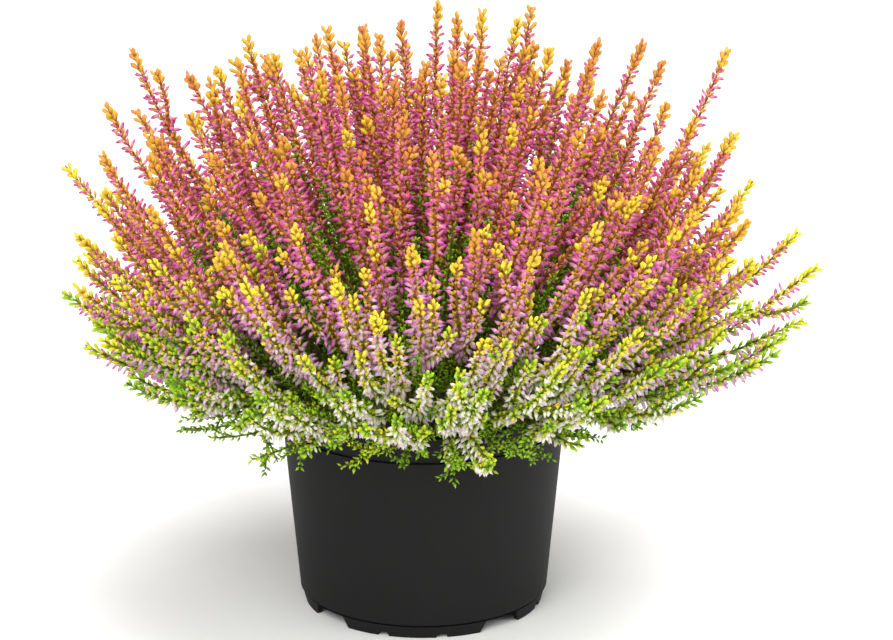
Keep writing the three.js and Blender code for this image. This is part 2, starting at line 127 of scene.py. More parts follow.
def add_node(
    tree: bpy.types.NodeTree,
    kind: str,
    feeds: dict | None = None,
    stops: tuple[tuple[float, str], ...] = (),
    **settings: object,
) -> bpy.types.Node:
    """Adds a node with its settings and what feeds it.

    Args:
        tree: The tree that takes the node.
        kind: The node's type.
        feeds: Input names or numbers, each with a socket to link or a value to set.
        stops: Places and hex colours of a colour ramp, if the node has one.
        settings: Properties of the node.

    Returns:
        The new node.
    """
    node = tree.nodes.new(kind)
    for name, value in settings.items():
        setattr(node, name, value)
    for number, (place, colour) in enumerate(stops):
        elements = node.color_ramp.elements
        element = elements[number] if number < 2 else elements.new(place)
        element.position = place
        element.color = linear(colour)
    for name, value in (feeds or {}).items():
        if isinstance(value, bpy.types.NodeSocket):
            tree.links.new(value, node.inputs[name])
        else:
            node.inputs[name].default_value = value
    return node


def new_material(name: str) -> tuple[bpy.types.Material, bpy.types.Node]:
    """Makes an empty material with its shader.

    Args:
        name: The material's name.

    Returns:
        The material and its principled shader, which is linked to the output.
    """
    material = bpy.data.materials.new(name)
    material.use_nodes = True
    tree = material.node_tree
    tree.nodes.clear()
    shader = add_node(tree, "ShaderNodeBsdfPrincipled")
    add_node(tree, "ShaderNodeOutputMaterial", {"Surface": shader.outputs["BSDF"]})
    return material, shader


# Finishes


class Tissue(Enum):
    """The plant's tissues, each with its strip of the map that colours are drawn on."""

    BUD = 0
    LEAF = 1
    STEM = 2

    @property
    def strip(self) -> tuple[float, float]:
        """Where the tissue's strip begins on the map, and how wide it is."""
        return STRIP_START + self.value / len(Tissue), STRIP_WIDTH


@dataclass(frozen=True)
class TissueFinish:
    """A plant tissue whose colour runs from its root to its tip, and changes with how much sun it gets.

    Fields:
        name: The material's name.
        tissue: Which tissue it is.
        tones: From shade to sun, the share of sun and the colours from root to tip.
        roughness: How dull the surface is.
        shine: How much it mirrors.
        streak: How much the fine streaks darken it.
        streak_scale: How fine the streaks are along, across and through the map.
        streak_detail: How ragged they are.
        streak_range: The heights of the noise that are darkest and palest.
    """

    name: str
    tissue: Tissue
    tones: tuple[tuple[float, tuple[tuple[float, str], ...]], ...]
    roughness: float
    shine: float = 0.18
    streak: float = 0.16
    streak_scale: tuple[float, float, float] = (40.0, 420.0, 1.0)
    streak_detail: float = 2.0
    streak_range: tuple[float, float] = (0.3, 0.7)

    def material(self) -> bpy.types.Material:
        """Makes the material: colour ramps along the tissue, mixed by its tone, with fine streaks."""
        material, shader = new_material(self.name)
        tree = material.node_tree
        places = add_node(tree, "ShaderNodeUVMap", uv_map=TISSUE_MAP)
        split = add_node(tree, "ShaderNodeSeparateXYZ", {0: places.outputs["UV"]})
        first, width = self.tissue.strip
        along = add_node(
            tree,
            "ShaderNodeMapRange",
            {"Value": split.outputs["X"], "From Min": first, "From Max": first + width},
        )
        colour = None
        level = 0.0
        for tone, stops in self.tones:
            ramp = add_node(tree, "ShaderNodeValToRGB", {"Fac": along.outputs["Result"]}, stops=stops)
            if colour is None:
                colour = ramp.outputs["Color"]
            else:
                share = add_node(
                    tree,
                    "ShaderNodeMapRange",
                    {"Value": split.outputs["Y"], "From Min": level, "From Max": tone},
                )
                mix = add_node(
                    tree,
                    "ShaderNodeMixRGB",
                    {0: share.outputs["Result"], 1: colour, 2: ramp.outputs["Color"]},
                )
                colour = mix.outputs["Color"]
            level = tone
        stretched = add_node(
            tree, "ShaderNodeMapping", {"Vector": places.outputs["UV"], "Scale": self.streak_scale}
        )
        streaks = add_node(
            tree,
            "ShaderNodeTexNoise",
            {"Vector": stretched.outputs["Vector"], "Scale": 1.0, "Detail": self.streak_detail},
        )
        darkest, palest = self.streak_range
        shade = add_node(
            tree,
            "ShaderNodeMapRange",
            {
                "Value": streaks.outputs["Fac"],
                "From Min": darkest,
                "From Max": palest,
                "To Min": 1 - self.streak,
            },
        )
        streaked = add_node(
            tree, "ShaderNodeMixRGB", {0: 1.0, 1: colour, 2: shade.outputs["Result"]}, blend_type="MULTIPLY"
        )
        tree.links.new(streaked.outputs["Color"], shader.inputs["Base Color"])
        shader.inputs["Roughness"].default_value = self.roughness
        shader.inputs["Specular IOR Level"].default_value = self.shine
        return material


# Dry sepals: pale where the bud leaves its brown calyx, deep pink at the closed tip, nearly white in shade.
# In the two upper tones the light pink about a third of the way along is partly the buds' own colour and
# partly a painted highlight
SEPALS = TissueFinish(
    "heather_sepals",
    Tissue.BUD,
    (
        (0.0, ((0.0, "#7c9c38"), (0.24, "#b0c86c"), (0.48, "#dce2bc"), (0.82, "#e6e0da"), (1.0, "#cca0c4"))),
        (0.3, ((0.0, "#80803a"), (0.18, "#d8d4a4"), (0.4, "#e4ccd4"), (0.72, "#d288c4"), (1.0, "#a850a0"))),
        # The light pink at 0.38 and 0.36 in these two tones is partly a painted highlight
        (0.6, ((0.0, "#a05c34"), (0.14, "#eccccc"), (0.38, "#ea98c0"), (0.7, "#cc5ca4"), (1.0, "#9a387a"))),
        (1.0, ((0.0, "#a04e30"), (0.14, "#eab8b4"), (0.36, "#f096b4"), (0.66, "#cc4e8a"), (1.0, "#962c64"))),
    ),
    roughness=0.5,
)
# Fleshy scale leaves: dark green inside the plant, lime and golden further out, red-tipped in full sun
SCALE_LEAVES = TissueFinish(
    "heather_scale_leaves",
    Tissue.LEAF,
    (
        (0.0, ((0.0, "#22380a"), (0.5, "#3c6010"), (1.0, "#567e18"))),
        (0.3, ((0.0, "#6c9c1a"), (0.5, "#8ebe20"), (1.0, "#a8d030"))),
        (0.52, ((0.0, "#ccc41e"), (0.5, "#e6dc2c"), (1.0, "#eed440"))),
        (0.78, ((0.0, "#d4b02a"), (0.5, "#e4bc3a"), (1.0, "#da9440"))),
        (1.0, ((0.0, "#c08038"), (0.5, "#d68a4a"), (1.0, "#c65a3a"))),
    ),
    roughness=0.72,
)
# Young wood wrapped in scales: green in shade, golden to rusty in sun, dark at the root end of each ramp for
# painted shade in the grooves between scales
YOUNG_WOOD = TissueFinish(
    "heather_young_wood",
    Tissue.STEM,
    (
        (0.0, ((0.0, "#2c3410"), (0.5, "#55621f"), (1.0, "#7a8a34"))),
        (0.4, ((0.0, "#5c4222"), (0.5, "#86692f"), (1.0, "#a8904a"))),
        (1.0, ((0.0, "#742c2c"), (0.5, "#a44a3c"), (1.0, "#c07858"))),
    ),
    roughness=0.6,
)
TISSUE_FINISHES = (SEPALS, SCALE_LEAVES, YOUNG_WOOD)


@dataclass(frozen=True)
class MouldedPolypropylene:
    """Black recycled polypropylene, injection moulded: satin, with a fine grain and faint flow marks."""

    name: str = "moulded_polypropylene"
    colour: str = "#0b0b0b"
    pale: str = "#111010"
    roughness: tuple[float, float] = (0.66, 0.76)
    # The real grain is about 0.15 mm and wouldn't show, so it is drawn about twice as coarse
    grain_mm: float = 0.35
    grain_detail: float = 2.0
    grain_strength: float = 0.12
    grain_depth_mm: float = 0.05
    mottle_mm: float = 22.0
    mottle_detail: float = 4.0
    mottle_range: tuple[float, float] = (0.3, 0.75)
    shine: float = 0.24

    def material(self) -> bpy.types.Material:
        """Makes the material from a broad mottle and a fine grain."""
        material, shader = new_material(self.name)
        tree = material.node_tree
        places = add_node(tree, "ShaderNodeTexCoord").outputs["Object"]
        mottle, grain = (
            add_node(
                tree, "ShaderNodeTexNoise", {"Vector": places, "Scale": 1 / (size * MM), "Detail": detail}
            )
            for size, detail in (
                (self.mottle_mm, self.mottle_detail),
                (self.grain_mm, self.grain_detail),
            )
        )
        stops = tuple(zip(self.mottle_range, (self.colour, self.pale)))
        colour = add_node(tree, "ShaderNodeValToRGB", {"Fac": mottle.outputs["Fac"]}, stops=stops)
        dulled = add_node(
            tree,
            "ShaderNodeMapRange",
            {"Value": mottle.outputs["Fac"], "To Min": self.roughness[0], "To Max": self.roughness[1]},
        )
        bump = add_node(
            tree,
            "ShaderNodeBump",
            {
                "Height": grain.outputs["Fac"],
                "Strength": self.grain_strength,
                "Distance": self.grain_depth_mm * MM,
            },
        )
        tree.links.new(colour.outputs["Color"], shader.inputs["Base Color"])
        tree.links.new(dulled.outputs["Result"], shader.inputs["Roughness"])
        tree.links.new(bump.outputs["Normal"], shader.inputs["Normal"])
        shader.inputs["Specular IOR Level"].default_value = self.shine
        return material


@dataclass(frozen=True)
class Peat:
    """Milled peat: dull, dark brown crumbs with paler fibres between them."""

    name: str = "milled_peat"
    stops: tuple[tuple[float, str], ...] = ((0.3, "#1d130d"), (0.55, "#3a291d"), (0.8, "#5a4330"))
    crumb_mm: float = 1.6
    fibre_detail: float = 6.0
    crumb_strength: float = 0.7
    crumb_depth_mm: float = 0.6
    roughness: float = 0.95
    shine: float = 0.15

    def material(self) -> bpy.types.Material:
        """Makes the material from crumb-sized cells and noise."""
        material, shader = new_material(self.name)
        tree = material.node_tree
        places = add_node(tree, "ShaderNodeTexCoord").outputs["Object"]
        scale = 1 / (self.crumb_mm * MM)
        crumbs = add_node(tree, "ShaderNodeTexVoronoi", {"Vector": places, "Scale": scale})
        fibres = add_node(
            tree, "ShaderNodeTexNoise", {"Vector": places, "Scale": scale / 2, "Detail": self.fibre_detail}
        )
        colour = add_node(tree, "ShaderNodeValToRGB", {"Fac": fibres.outputs["Fac"]}, stops=self.stops)
        bump = add_node(
            tree,
            "ShaderNodeBump",
            {
                "Height": crumbs.outputs["Distance"],
                "Strength": self.crumb_strength,
                "Distance": self.crumb_depth_mm * MM,
            },
        )
        tree.links.new(colour.outputs["Color"], shader.inputs["Base Color"])
        tree.links.new(bump.outputs["Normal"], shader.inputs["Normal"])
        shader.inputs["Roughness"].default_value = self.roughness
        shader.inputs["Specular IOR Level"].default_value = self.shine
        return material


# Modelling helpers


def deselect() -> None:
    """Leaves nothing selected, so that an operator acts on new pieces alone."""
    if bpy.context.object and bpy.context.object.mode != "OBJECT":
        bpy.ops.object.mode_set(mode="OBJECT")
    bpy.ops.object.select_all(action="DESELECT")


def place_in_mesh(piece: bpy.types.Object) -> None:
    """Moves a piece's place, turn and size into its mesh."""
    deselect()
    piece.select_set(True)
    bpy.context.view_layer.objects.active = piece
    bpy.ops.object.transform_apply(location=True, rotation=True, scale=True)


def turned(name: str, profile: list[tuple[float, float]], sides: int) -> bpy.types.Object:
    """Turns a closed profile round the Z axis by extruding a ring from step to step.

    Args:
        name: The piece's name.
        profile: Radius and height of each step. The last meets the first.
        sides: Faces round the axis.

    Returns:
        The turned piece, with its faces pointing outwards.
    """
    deselect()
    radius, height = profile[0]
    bpy.ops.mesh.primitive_circle_add(vertices=sides, radius=radius * MM, location=(0, 0, height * MM))
    piece = bpy.context.object
    piece.name = name
    place_in_mesh(piece)
    bpy.ops.object.mode_set(mode="EDIT")
    bpy.ops.mesh.select_all(action="SELECT")
    for (radius, height), (next_radius, next_height) in zip(profile, profile[1:] + profile[:1]):
        rise = {"value": (0, 0, (next_height - height) * MM)}
        bpy.ops.mesh.extrude_region_move(TRANSFORM_OT_translate=rise)
        ratio = next_radius / radius
        bpy.ops.transform.resize(value=(ratio, ratio, 1), center_override=(0, 0, next_height * MM))
    bpy.ops.mesh.select_all(action="SELECT")
    bpy.ops.mesh.remove_doubles(threshold=MERGE_DISTANCE * MM)
    bpy.ops.mesh.normals_make_consistent(inside=False)
    bpy.ops.object.mode_set(mode="OBJECT")
    return piece


def add_modifier(piece: bpy.types.Object, kind: str, **settings: object) -> None:
    """Puts a modifier on a piece and applies it.

    Args:
        piece: The piece.
        kind: The modifier's type.
        settings: The modifier's properties.
    """
    deselect()
    bpy.context.view_layer.objects.active = piece
    piece.select_set(True)
    modifier = piece.modifiers.new(kind.lower(), kind)
    for name, value in settings.items():
        setattr(modifier, name, value)
    bpy.ops.object.modifier_apply(modifier=modifier.name)


def dress(piece: bpy.types.Object, slot: str, materials: list[bpy.types.Material], *nodes: str) -> None:
    """Gives a piece its materials and its place in the frame, and reports it.

    Args:
        piece: The piece.
        slot: The record's material slot. Not used.
        materials: The materials of its slots, in order.
        nodes: The solids that it stands for.
    """
    for material in materials:
        piece.data.materials.append(material)
    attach(piece, BODY)
    if nodes:
        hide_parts(*nodes)
    log.info("%s: %d faces, stands for %s", piece.name, len(piece.data.polygons), ", ".join(nodes) or "-")


# Small shapes and their copies


@dataclass
class Patch:
    """Faces of one tissue, gathered for a piece.

    Fields:
        corners: Places in millimetres.
        faces: Three corner numbers a face.
        places: Where each corner lies on the tissue map.
        tissue: The tissue that the faces are made of.
    """

    corners: np.ndarray
    faces: np.ndarray
    places: np.ndarray
    tissue: Tissue


def on_map(tissue: Tissue, along: np.ndarray, tone: np.ndarray, turn: np.ndarray) -> np.ndarray:
    """Where corners lie on the tissue map.

    Args:
        tissue: The tissue, which has a strip of the map.
        along: The share of the way from root to tip.
        tone: The share of sun, from 0 to 1.
        turn: The angle round the shape, which sets neighbours a little apart.

    Returns:
        Two numbers from 0 to 1 for each corner.
    """
    first, width = tissue.strip
    spread = TONE_SPREAD * turn / math.pi
    return np.stack([first + width * along, np.clip(tone, *TONE_RANGE) + spread], axis=-1)


@dataclass
class SmallShape:
    """A small shape along +Z that is modelled once and copied many times.

    Fields:
        corners: Places for a shape of length 1 and greatest width 1.
        faces: Three corner numbers a face.
        tissue: The tissue that it is made of.
    """

    corners: np.ndarray
    faces: np.ndarray
    tissue: Tissue

    @classmethod
    def spindle(
        cls, tissue: Tissue, sides: int, rings: tuple[tuple[float, float], tuple[float, float]]
    ) -> "SmallShape":
        """Models a spindle from a cone whose two end faces are pulled out into points.

        Args:
            tissue: The tissue that it is made of.
            sides: Faces round its axis.
            rings: Height and radius of its lower and upper ring, as shares of its length and of its width.
                A radius of 0 leaves a ring out.

        Returns:
            The shape, whose model is removed again.
        """
        low, high = rings
        deselect()
        bpy.ops.mesh.primitive_cone_add(
            vertices=sides,
            radius1=low[1],
            radius2=high[1],
            depth=high[0] - low[0],
            end_fill_type="TRIFAN",
            location=(0, 0, (low[0] + high[0]) / 2),
        )
        model = bpy.context.object
        place_in_mesh(model)
        bpy.ops.object.mode_set(mode="EDIT")
        for height, pull in ((low[0], -low[0]), (high[0], 1 - high[0])):
            bpy.ops.mesh.select_all(action="DESELECT")
            bpy.ops.object.mode_set(mode="OBJECT")
            for vertex in model.data.vertices:
                on_axis = math.hypot(vertex.co.x, vertex.co.y) < TOLERANCE
                vertex.select = on_axis and abs(vertex.co.z - height) < TOLERANCE
            bpy.ops.object.mode_set(mode="EDIT")
            bpy.ops.transform.translate(value=(0, 0, pull))
        bpy.ops.mesh.select_all(action="SELECT")
        bpy.ops.mesh.quads_convert_to_tris()
        bpy.ops.mesh.normals_make_consistent(inside=False)
        bpy.ops.object.mode_set(mode="OBJECT")
        corners = np.array([vertex.co for vertex in model.data.vertices])
        faces = np.array([face.vertices[:] for face in model.data.polygons])
        bpy.data.objects.remove(model)
        return cls(corners, faces, tissue)

    def copies(
        self,
        roots: np.ndarray,
        axes: np.ndarray,
        widths: np.ndarray,
        lengths: np.ndarray,
        tones: np.ndarray,
    ) -> Patch:
        """Sets a copy on each root.

        Args:
            roots: Where the copies stand.
            axes: The directions that they point in.
            widths: Their greatest radius.
            lengths: Their length.
            tones: Their share of sun.

        Returns:
            All the copies in one patch.
        """
        axes = unit(axes)
        helper = np.where(np.abs(axes[:, 2:]) > STEEP, [1.0, 0.0, 0.0], UP)
        across = unit(np.cross(axes, helper))
        third = np.cross(axes, across)
        x, y, z = (self.corners[None, :, k, None] for k in range(3))
        corners = (
            roots[:, None]
            + widths[:, None, None] * (x * across[:, None] + y * third[:, None])
            + lengths[:, None, None] * z * axes[:, None]
        )
        faces = self.faces[None] + len(self.corners) * np.arange(len(roots))[:, None, None]
        turn = np.arctan2(self.corners[:, 1], self.corners[:, 0])
        count = (len(roots), len(self.corners))
        along = np.broadcast_to(self.corners[:, 2], count)
        places = on_map(self.tissue, along, np.broadcast_to(tones[:, None], count), turn)
        return Patch(corners.reshape(-1, 3), faces.reshape(-1, 3), places.reshape(-1, 2), self.tissue)


def piece_of(name: str, patches: list[Patch]) -> bpy.types.Object:
    """Makes one piece from patches.

    Args:
        name: The piece's name.
        patches: What it is made of.

    Returns:
        A piece whose faces carry the number of their tissue, for one material slot each, in the order of the
        tissues.
    """
    starts = np.cumsum([0] + [len(patch.corners) for patch in patches[:-1]])
    corners = np.concatenate([patch.corners for patch in patches]) * MM
    faces = np.concatenate([patch.faces + start for patch, start in zip(patches, starts)])
    places = np.concatenate([patch.places for patch in patches])
    tissues = np.concatenate([np.full(len(patch.faces), patch.tissue.value) for patch in patches])
    mesh = bpy.data.meshes.new(name)
    mesh.vertices.add(len(corners))
    mesh.vertices.foreach_set("co", corners.astype(np.float32).ravel())
    mesh.loops.add(faces.size)
    mesh.loops.foreach_set("vertex_index", faces.astype(np.int32).ravel())
    mesh.polygons.add(len(faces))
    mesh.polygons.foreach_set("loop_start", np.arange(0, faces.size, 3, dtype=np.int32))
    mesh.polygons.foreach_set("material_index", tissues.astype(np.int32))
    mesh.polygons.foreach_set("use_smooth", np.ones(len(faces), dtype=bool))
    mesh.uv_layers.new(name=TISSUE_MAP)
    mesh.uv_layers[TISSUE_MAP].data.foreach_set("uv", places[faces.ravel()].astype(np.float32).ravel())
    mesh.update(calc_edges=True)
    mesh.validate()
    piece = bpy.data.objects.new(name, mesh)
    bpy.context.scene.collection.objects.link(piece)
    return piece


# The way of a stem


@dataclass
class Way:
    """A smooth line through points, with the directions that things grow in along it.

    Fields:
        points: Places along the line, close together.
        distances: How far along the line each is.
        forward: The direction of growth at each.
        aside: The level direction across the line at each.
    """

    points: np.ndarray
    distances: np.ndarray = field(init=False)
    forward: np.ndarray = field(init=False)
    aside: np.ndarray = field(init=False)

    def __post_init__(self) -> None:
        """Works out the distances and directions."""
        steps = np.linalg.norm(np.diff(self.points, axis=0), axis=1)
        self.distances = np.concatenate([[0], np.cumsum(steps)])
        self.forward = unit(np.gradient(self.points, axis=0))
        outward = self.points[-1] - self.points[0]
        level = unit(np.cross(UP, outward + NUDGE))
        aside = level - (self.forward @ level)[:, None] * self.forward
        self.aside = unit(aside)

    @classmethod
    def through(cls, knots: np.ndarray, steps: int = 5) -> "Way":
        """Runs a smooth line through a few knots, by the usual cubic through four neighbours.

        Args:
            knots: The places that it passes.
            steps: Points for each stretch between knots.

        Returns:
            The line.
        """
        ends = np.concatenate([[2 * knots[0] - knots[1]], knots, [2 * knots[-1] - knots[-2]]])
        before, start, end, after = (ends[k : k + len(knots) - 1, None] for k in range(4))
        t = np.linspace(0, 1, steps, endpoint=False)[None, :, None]
        points = 0.5 * (
            2 * start
            + (end - before) * t
            + (2 * before - 5 * start + 4 * end - after) * t**2
            + (3 * start - before - 3 * end + after) * t**3
        )
        return cls(np.concatenate([points.reshape(-1, 3), knots[-1:]]))

    @property
    def length(self) -> float:
        """How long the line is."""
        return float(self.distances[-1])

    def at(self, distances: np.ndarray) -> tuple[np.ndarray, np.ndarray, np.ndarray, np.ndarray]:
        """The places and directions at some distances.

        Args:
            distances: How far along the line.

        Returns:
            Places, directions of growth, level directions across and directions across both.
        """
        place, forward, aside = (
            np.stack([np.interp(distances, self.distances, values[:, k]) for k in range(3)], axis=-1)
            for values in (self.points, self.forward, self.aside)
        )
        forward = unit(forward)
        aside = unit(aside)
        return place, forward, aside, np.cross(forward, aside)


def scaly_stem(way: Way, rings: np.ndarray, radii: np.ndarray, tones: np.ndarray) -> Patch:
    """A four-sided stem whose rings are turned against each other, so that it looks plaited from scales.

    Args:
        way: The line that it follows.
        rings: Distances of its rings.
        radii: The radius of each ring.
        tones: The share of sun of each ring.

    Returns:
        The closed stem.
    """
    sides = STEM_SIDES
    place, _, aside, across = way.at(rings)
    number = np.arange(len(rings))
    angles = (np.arange(sides)[None] * 2 + number[:, None] % 2) * math.pi / sides
    out = np.cos(angles)[..., None] * aside[:, None] + np.sin(angles)[..., None] * across[:, None]
    corners = (place[:, None] + radii[:, None, None] * out).reshape(-1, 3)
    low = (number[:-1, None] * sides + np.arange(sides)[None]).ravel()
    step = (number[:-1, None] * sides + (np.arange(sides)[None] + 1) % sides).ravel()
    turned_on = np.repeat(number[:-1] % 2, sides)
    high, high_step = low + sides, step + sides
    even = np.stack([low, step, high, step, high_step, high], axis=1).reshape(-1, 2, 3)
    odd = np.stack([low, step, high_step, low, high_step, high], axis=1).reshape(-1, 2, 3)
    faces = np.where(turned_on[:, None, None] == 1, odd, even).reshape(-1, 3)
    last = len(corners)
    ring = np.arange(sides)
    foot = np.stack([np.full(sides, last), (ring + 1) % sides, ring], axis=1)
    top_ring = ring + last - sides
    top = np.stack([np.full(sides, last + 1), top_ring, (ring + 1) % sides + last - sides], axis=1)
    corners = np.concatenate([corners, place[:1], place[-1:]])
    faces = np.concatenate([faces, foot, top])
    # Dark and pale rings by turns: painted shade in the grooves between scales
    along = np.repeat(np.where(number % 2 == 0, *RING_PLACES_WITH_GROOVE_SHADE), sides)
    turn = (angles - math.pi).ravel()
    places = on_map(Tissue.STEM, along, np.repeat(tones, sides), turn)
    ends = on_map(Tissue.STEM, np.array([0.0, 0.0]), tones[[0, -1]], np.zeros(2))
    return Patch(corners, faces, np.concatenate([places, ends]), Tissue.STEM)


# The plan of the plant


@dataclass
class Spike:
    """One flower spike: where it leads and where it leaves the stem that carries it.

    Fields:
        direction: From the middle of the rim towards its tip.
        reach: How far that way its full length ends.
        end: The share of its full length that it has.
        host: The direction of the stem that carries it.
        host_reach: The reach of that stem.
        fork: The share of the way where it turns off.
        start: The share of the way where it begins.
        rooted: Whether it stands in the soil itself.
        lift: How far its tip turns up where it grows nearly level.
    """

    direction: np.ndarray
    reach: float
    end: float
    host: np.ndarray | None = None
    host_reach: float = 0.0
    fork: float = 0.3
    start: float = 0.0
    rooted: bool = False
    lift: float = 3.0


def angle_between(one: np.ndarray, other: np.ndarray) -> float:
    """The angle between two directions, in radians."""
    return math.acos(float(np.clip(one @ other, -1, 1)))


def bent(
    low: tuple[np.ndarray, np.ndarray],
    high: tuple[np.ndarray, np.ndarray],
    hold: float,
    t: np.ndarray,
) -> np.ndarray:
    """Places on cubic curves between two ends.

    Args:
        low: The places of the lower ends, and their leans in radians.
        high: The places of the upper ends, and their leans.
        hold: How far the ends hold their leans, as a share of the distance between them.
        t: The share of the way along each curve.

    Returns:
        A place for each.
    """
    (low_end, low_lean), (high_end, high_lean) = low, high
    span = hold * np.linalg.norm(high_end - low_end, axis=1)[:, None]
    first = low_end + span * np.stack([np.sin(low_lean), np.cos(low_lean)], axis=-1)
    second = high_end - span * np.stack([np.sin(high_lean), np.cos(high_lean)], axis=-1)
    t = t[:, None]
    u = 1 - t
    return u**3 * low_end + 3 * u * u * t * first + 3 * u * t * t * second + t**3 * high_end


@dataclass(frozen=True)
class CrownPlan:
    """The dome of flower spikes: how stems lead from the soil to it, and how they share it out."""

    rim_height: float = 89
    soil_top: float = 77
    hole_depth: float = 10
    clearance: float = 0.35
    root_circle: float = 50
    root_circle_lean: float = 85
    root_circle_power: float = 0.8
    root_lean_share: float = 0.2
    neck_rise: float = 2
    stem_hold: float = 0.5
    spike_hold: float = 1 / 3
    side_lean: float = 45
    upright_share: float = 0.66
    low_share: float = 0.9
    spike_turn: float = 0.12
    flowering_length: float = 76
    low_flowering_length: float = 55
    flowers_from: float = 0.46
    top_reach: float = 158
    bulge: float = 14
    bulge_rate: float = 2.1
    skirt: float = 10
    skirt_power: float = 6
    branches: int = 48
    even_spikes: int = 182
    lowest_lean: float = 82
    front_lift: float = 0.07
    shortest: float = 0.84
    outline_spacing: float = 7
    view_elevation: float = 21
    fork_first: float = 0.1
    fork_last: float = 0.28
    fork_spread: float = 0.3
    trunk_fork: float = 0.3
    root_overlap: float = 0.02
    path_points: int = 8
    smoothing_passes: int = 2
    seeds_a_branch: int = 50
    # The sway: how far, from which share of the way and over which, its waves and how spikes differ
    sway: float = 1.3
    sway_from: float = 0.2
    sway_over: float = 0.5
    sway_waves: tuple[float, float] = (7, 8)
    sway_shift: float = 1.7
    sway_seeds: tuple[float, float] = (1000, 317)
    # Where spikes count as level, and from which share of the way, over which and up to where they turn up
    level_range: tuple[float, float] = (0.8, 0.98)
    lift_from: float = 0.45
    lift_over: float = 0.4
    lift_most: float = 1.2
    # How far out the front and the side are, for shade
    front_depth: float = 140
    side_width: float = 150
    # Height over the rim where sun begins, how much higher at front and side, and over what height it grows
    sun_from: float = 2
    sun_front: float = 34
    sun_side: float = 21
    sun_span: float = 72
    sun_front_span: float = 30
    sun_side_span: float = 10
    # The same for the depth of colour of flowers, which begins under the rim
    bloom_under: float = 19
    bloom_front: float = 64
    bloom_span: float = 84
    bloom_front_span: float = 10
    # Spikes of the outline: degrees from upright seen from the front, reach, degrees towards the back
    outline: tuple[tuple[float, float, float], ...] = (
        (-84, 127, -12),
        (-70.5, 150, -6),
        (-58, 183, 20),
        (-54, 160, -8),
        (-47.5, 178, 2),
        (-40.5, 182, -5),
        (-45, 172, 14),
        (-32, 161, 3),
        (-27, 160, -7),
        (-19, 150, 2),
        (-10, 152, -5),
        (-3.5, 155, 5),
        (2.5, 159, -5),
        (8.5, 161, 5),
        (16, 164, -4),
        (24.5, 146, 4),
        (32, 168, -5),
        (37.5, 153, 8),
        (42, 187, -3),
        (51, 168, 3),
        (60.5, 148, -7),
        (68, 168, 4),
        (74.5, 165, -14),
        (81, 158, -4),
        (86, 142, -20),
        (88, 93, -50),
    )
    # Directions in which the crown is thin: degrees from the front, lean and width
    openings: tuple[tuple[float, float, float], ...] = ((6, 56, 7),)

    def reach(self, lean: float) -> float:
        """How far the crown reaches from the middle of the rim, by the lean from upright in radians."""
        skirt = self.skirt * (lean / math.radians(self.root_circle_lean)) ** self.skirt_power
        return self.top_reach + self.bulge * math.sin(self.bulge_rate * lean) - skirt

    def direction(self, azimuth: float, lean: float) -> np.ndarray:
        """The direction at an azimuth from the front and a lean from upright, both in radians."""
        level = math.sin(lean)
        return np.array([level * math.sin(azimuth), -level * math.cos(azimuth), math.cos(lean)])

    def outline_direction(self, side: float, back: float) -> np.ndarray:
        """The direction of a spike of the outline.

        Args:
            side: Degrees from upright as seen from the front.
            back: Degrees away from the plane of the outline, with + to the back.

        Returns:
            A direction of length 1.
        """
        tilt = math.radians(self.view_elevation)
        side, back = math.radians(side), math.radians(back)
        view = np.array([0, math.cos(tilt), -math.sin(tilt)])
        up = np.array([0, math.sin(tilt), math.cos(tilt)])
        in_plane = math.cos(side) * up + math.sin(side) * np.array([1.0, 0, 0])
        return math.cos(back) * in_plane + math.sin(back) * view

    def stem_points(self, direction: np.ndarray, reach: np.ndarray, share: np.ndarray) -> np.ndarray:
        """Where stems stand at shares of their way from the soil to the tip.

        Args:
            direction: The direction that each leads in.
            reach: How far each reaches.
            share: The share of the way.

        Returns:
            A place for each.
        """
        lean = np.arccos(np.clip(direction[:, 2], -1, 1))
        low = smoothstep(lean, math.radians(self.side_lean), math.radians(self.root_circle_lean))
        spike_lean = lean * lerp(self.upright_share, self.low_share, low)
        turn = self.spike_turn * lean
        flowering = lerp(self.flowering_length, self.low_flowering_length, low)
        root_radius = self.root_circle * np.sin(lean * 90 / self.root_circle_lean) ** self.root_circle_power
        root = np.stack([root_radius, np.full_like(lean, self.soil_top)], axis=-1)
        tip = np.stack([reach * np.sin(lean), self.rim_height + reach * np.cos(lean)], axis=-1)
        start = tip - flowering[:, None] * np.stack([np.sin(spike_lean), np.cos(spike_lean)], axis=-1)

        below = np.clip(share / self.flowers_from, 0, 1)
        above = np.clip((share - self.flowers_from) / (1 - self.flowers_from), 0, 1)
        foot = (root, self.root_lean_share * lean)
        middle = (start, spike_lean + turn)
        stem = bent(foot, middle, self.stem_hold, below)
        spike = bent(middle, (tip, spike_lean - turn), self.spike_hold, above)
        place = np.where((share < self.flowers_from)[:, None], stem, spike)
        away = unit(direction[:, :2])
        return np.concatenate([away * place[:, :1], place[:, 1:]], axis=1)

    def spikes(self) -> list[Spike]:
        """The spikes of the outline, then spikes spread evenly over the dome where none stands close."""
        spikes = [
            Spike(self.outline_direction(side, back), reach / math.cos(math.radians(back)), 1.0)
            for side, reach, back in self.outline
        ]
        leaders = list(spikes)
        gaps = [
            (self.direction(math.radians(azimuth), math.radians(lean)), math.radians(width))
            for azimuth, lean, width in self.openings
        ]
        lowest = math.cos(math.radians(self.lowest_lean))
        spacing = math.radians(self.outline_spacing)
        for number in range(self.even_spikes):
            azimuth = (number * GOLDEN_ANGLE) % (2 * math.pi)
            level = math.acos(1 - ((number + 0.5) / self.even_spikes) * (1 - lowest))
            lean = level * (1 - self.front_lift * max(0, math.cos(azimuth)))
            direction = self.direction(azimuth, lean)
            if any(angle_between(leader.direction, direction) < spacing for leader in leaders):
                continue
            if any(angle_between(gap, direction) < width for gap, width in gaps):
                continue
            end = lerp(self.shortest, 1, draw(number, DRAW_LENGTH))
            spikes.append(Spike(direction, self.reach(lean), end))
        return spikes

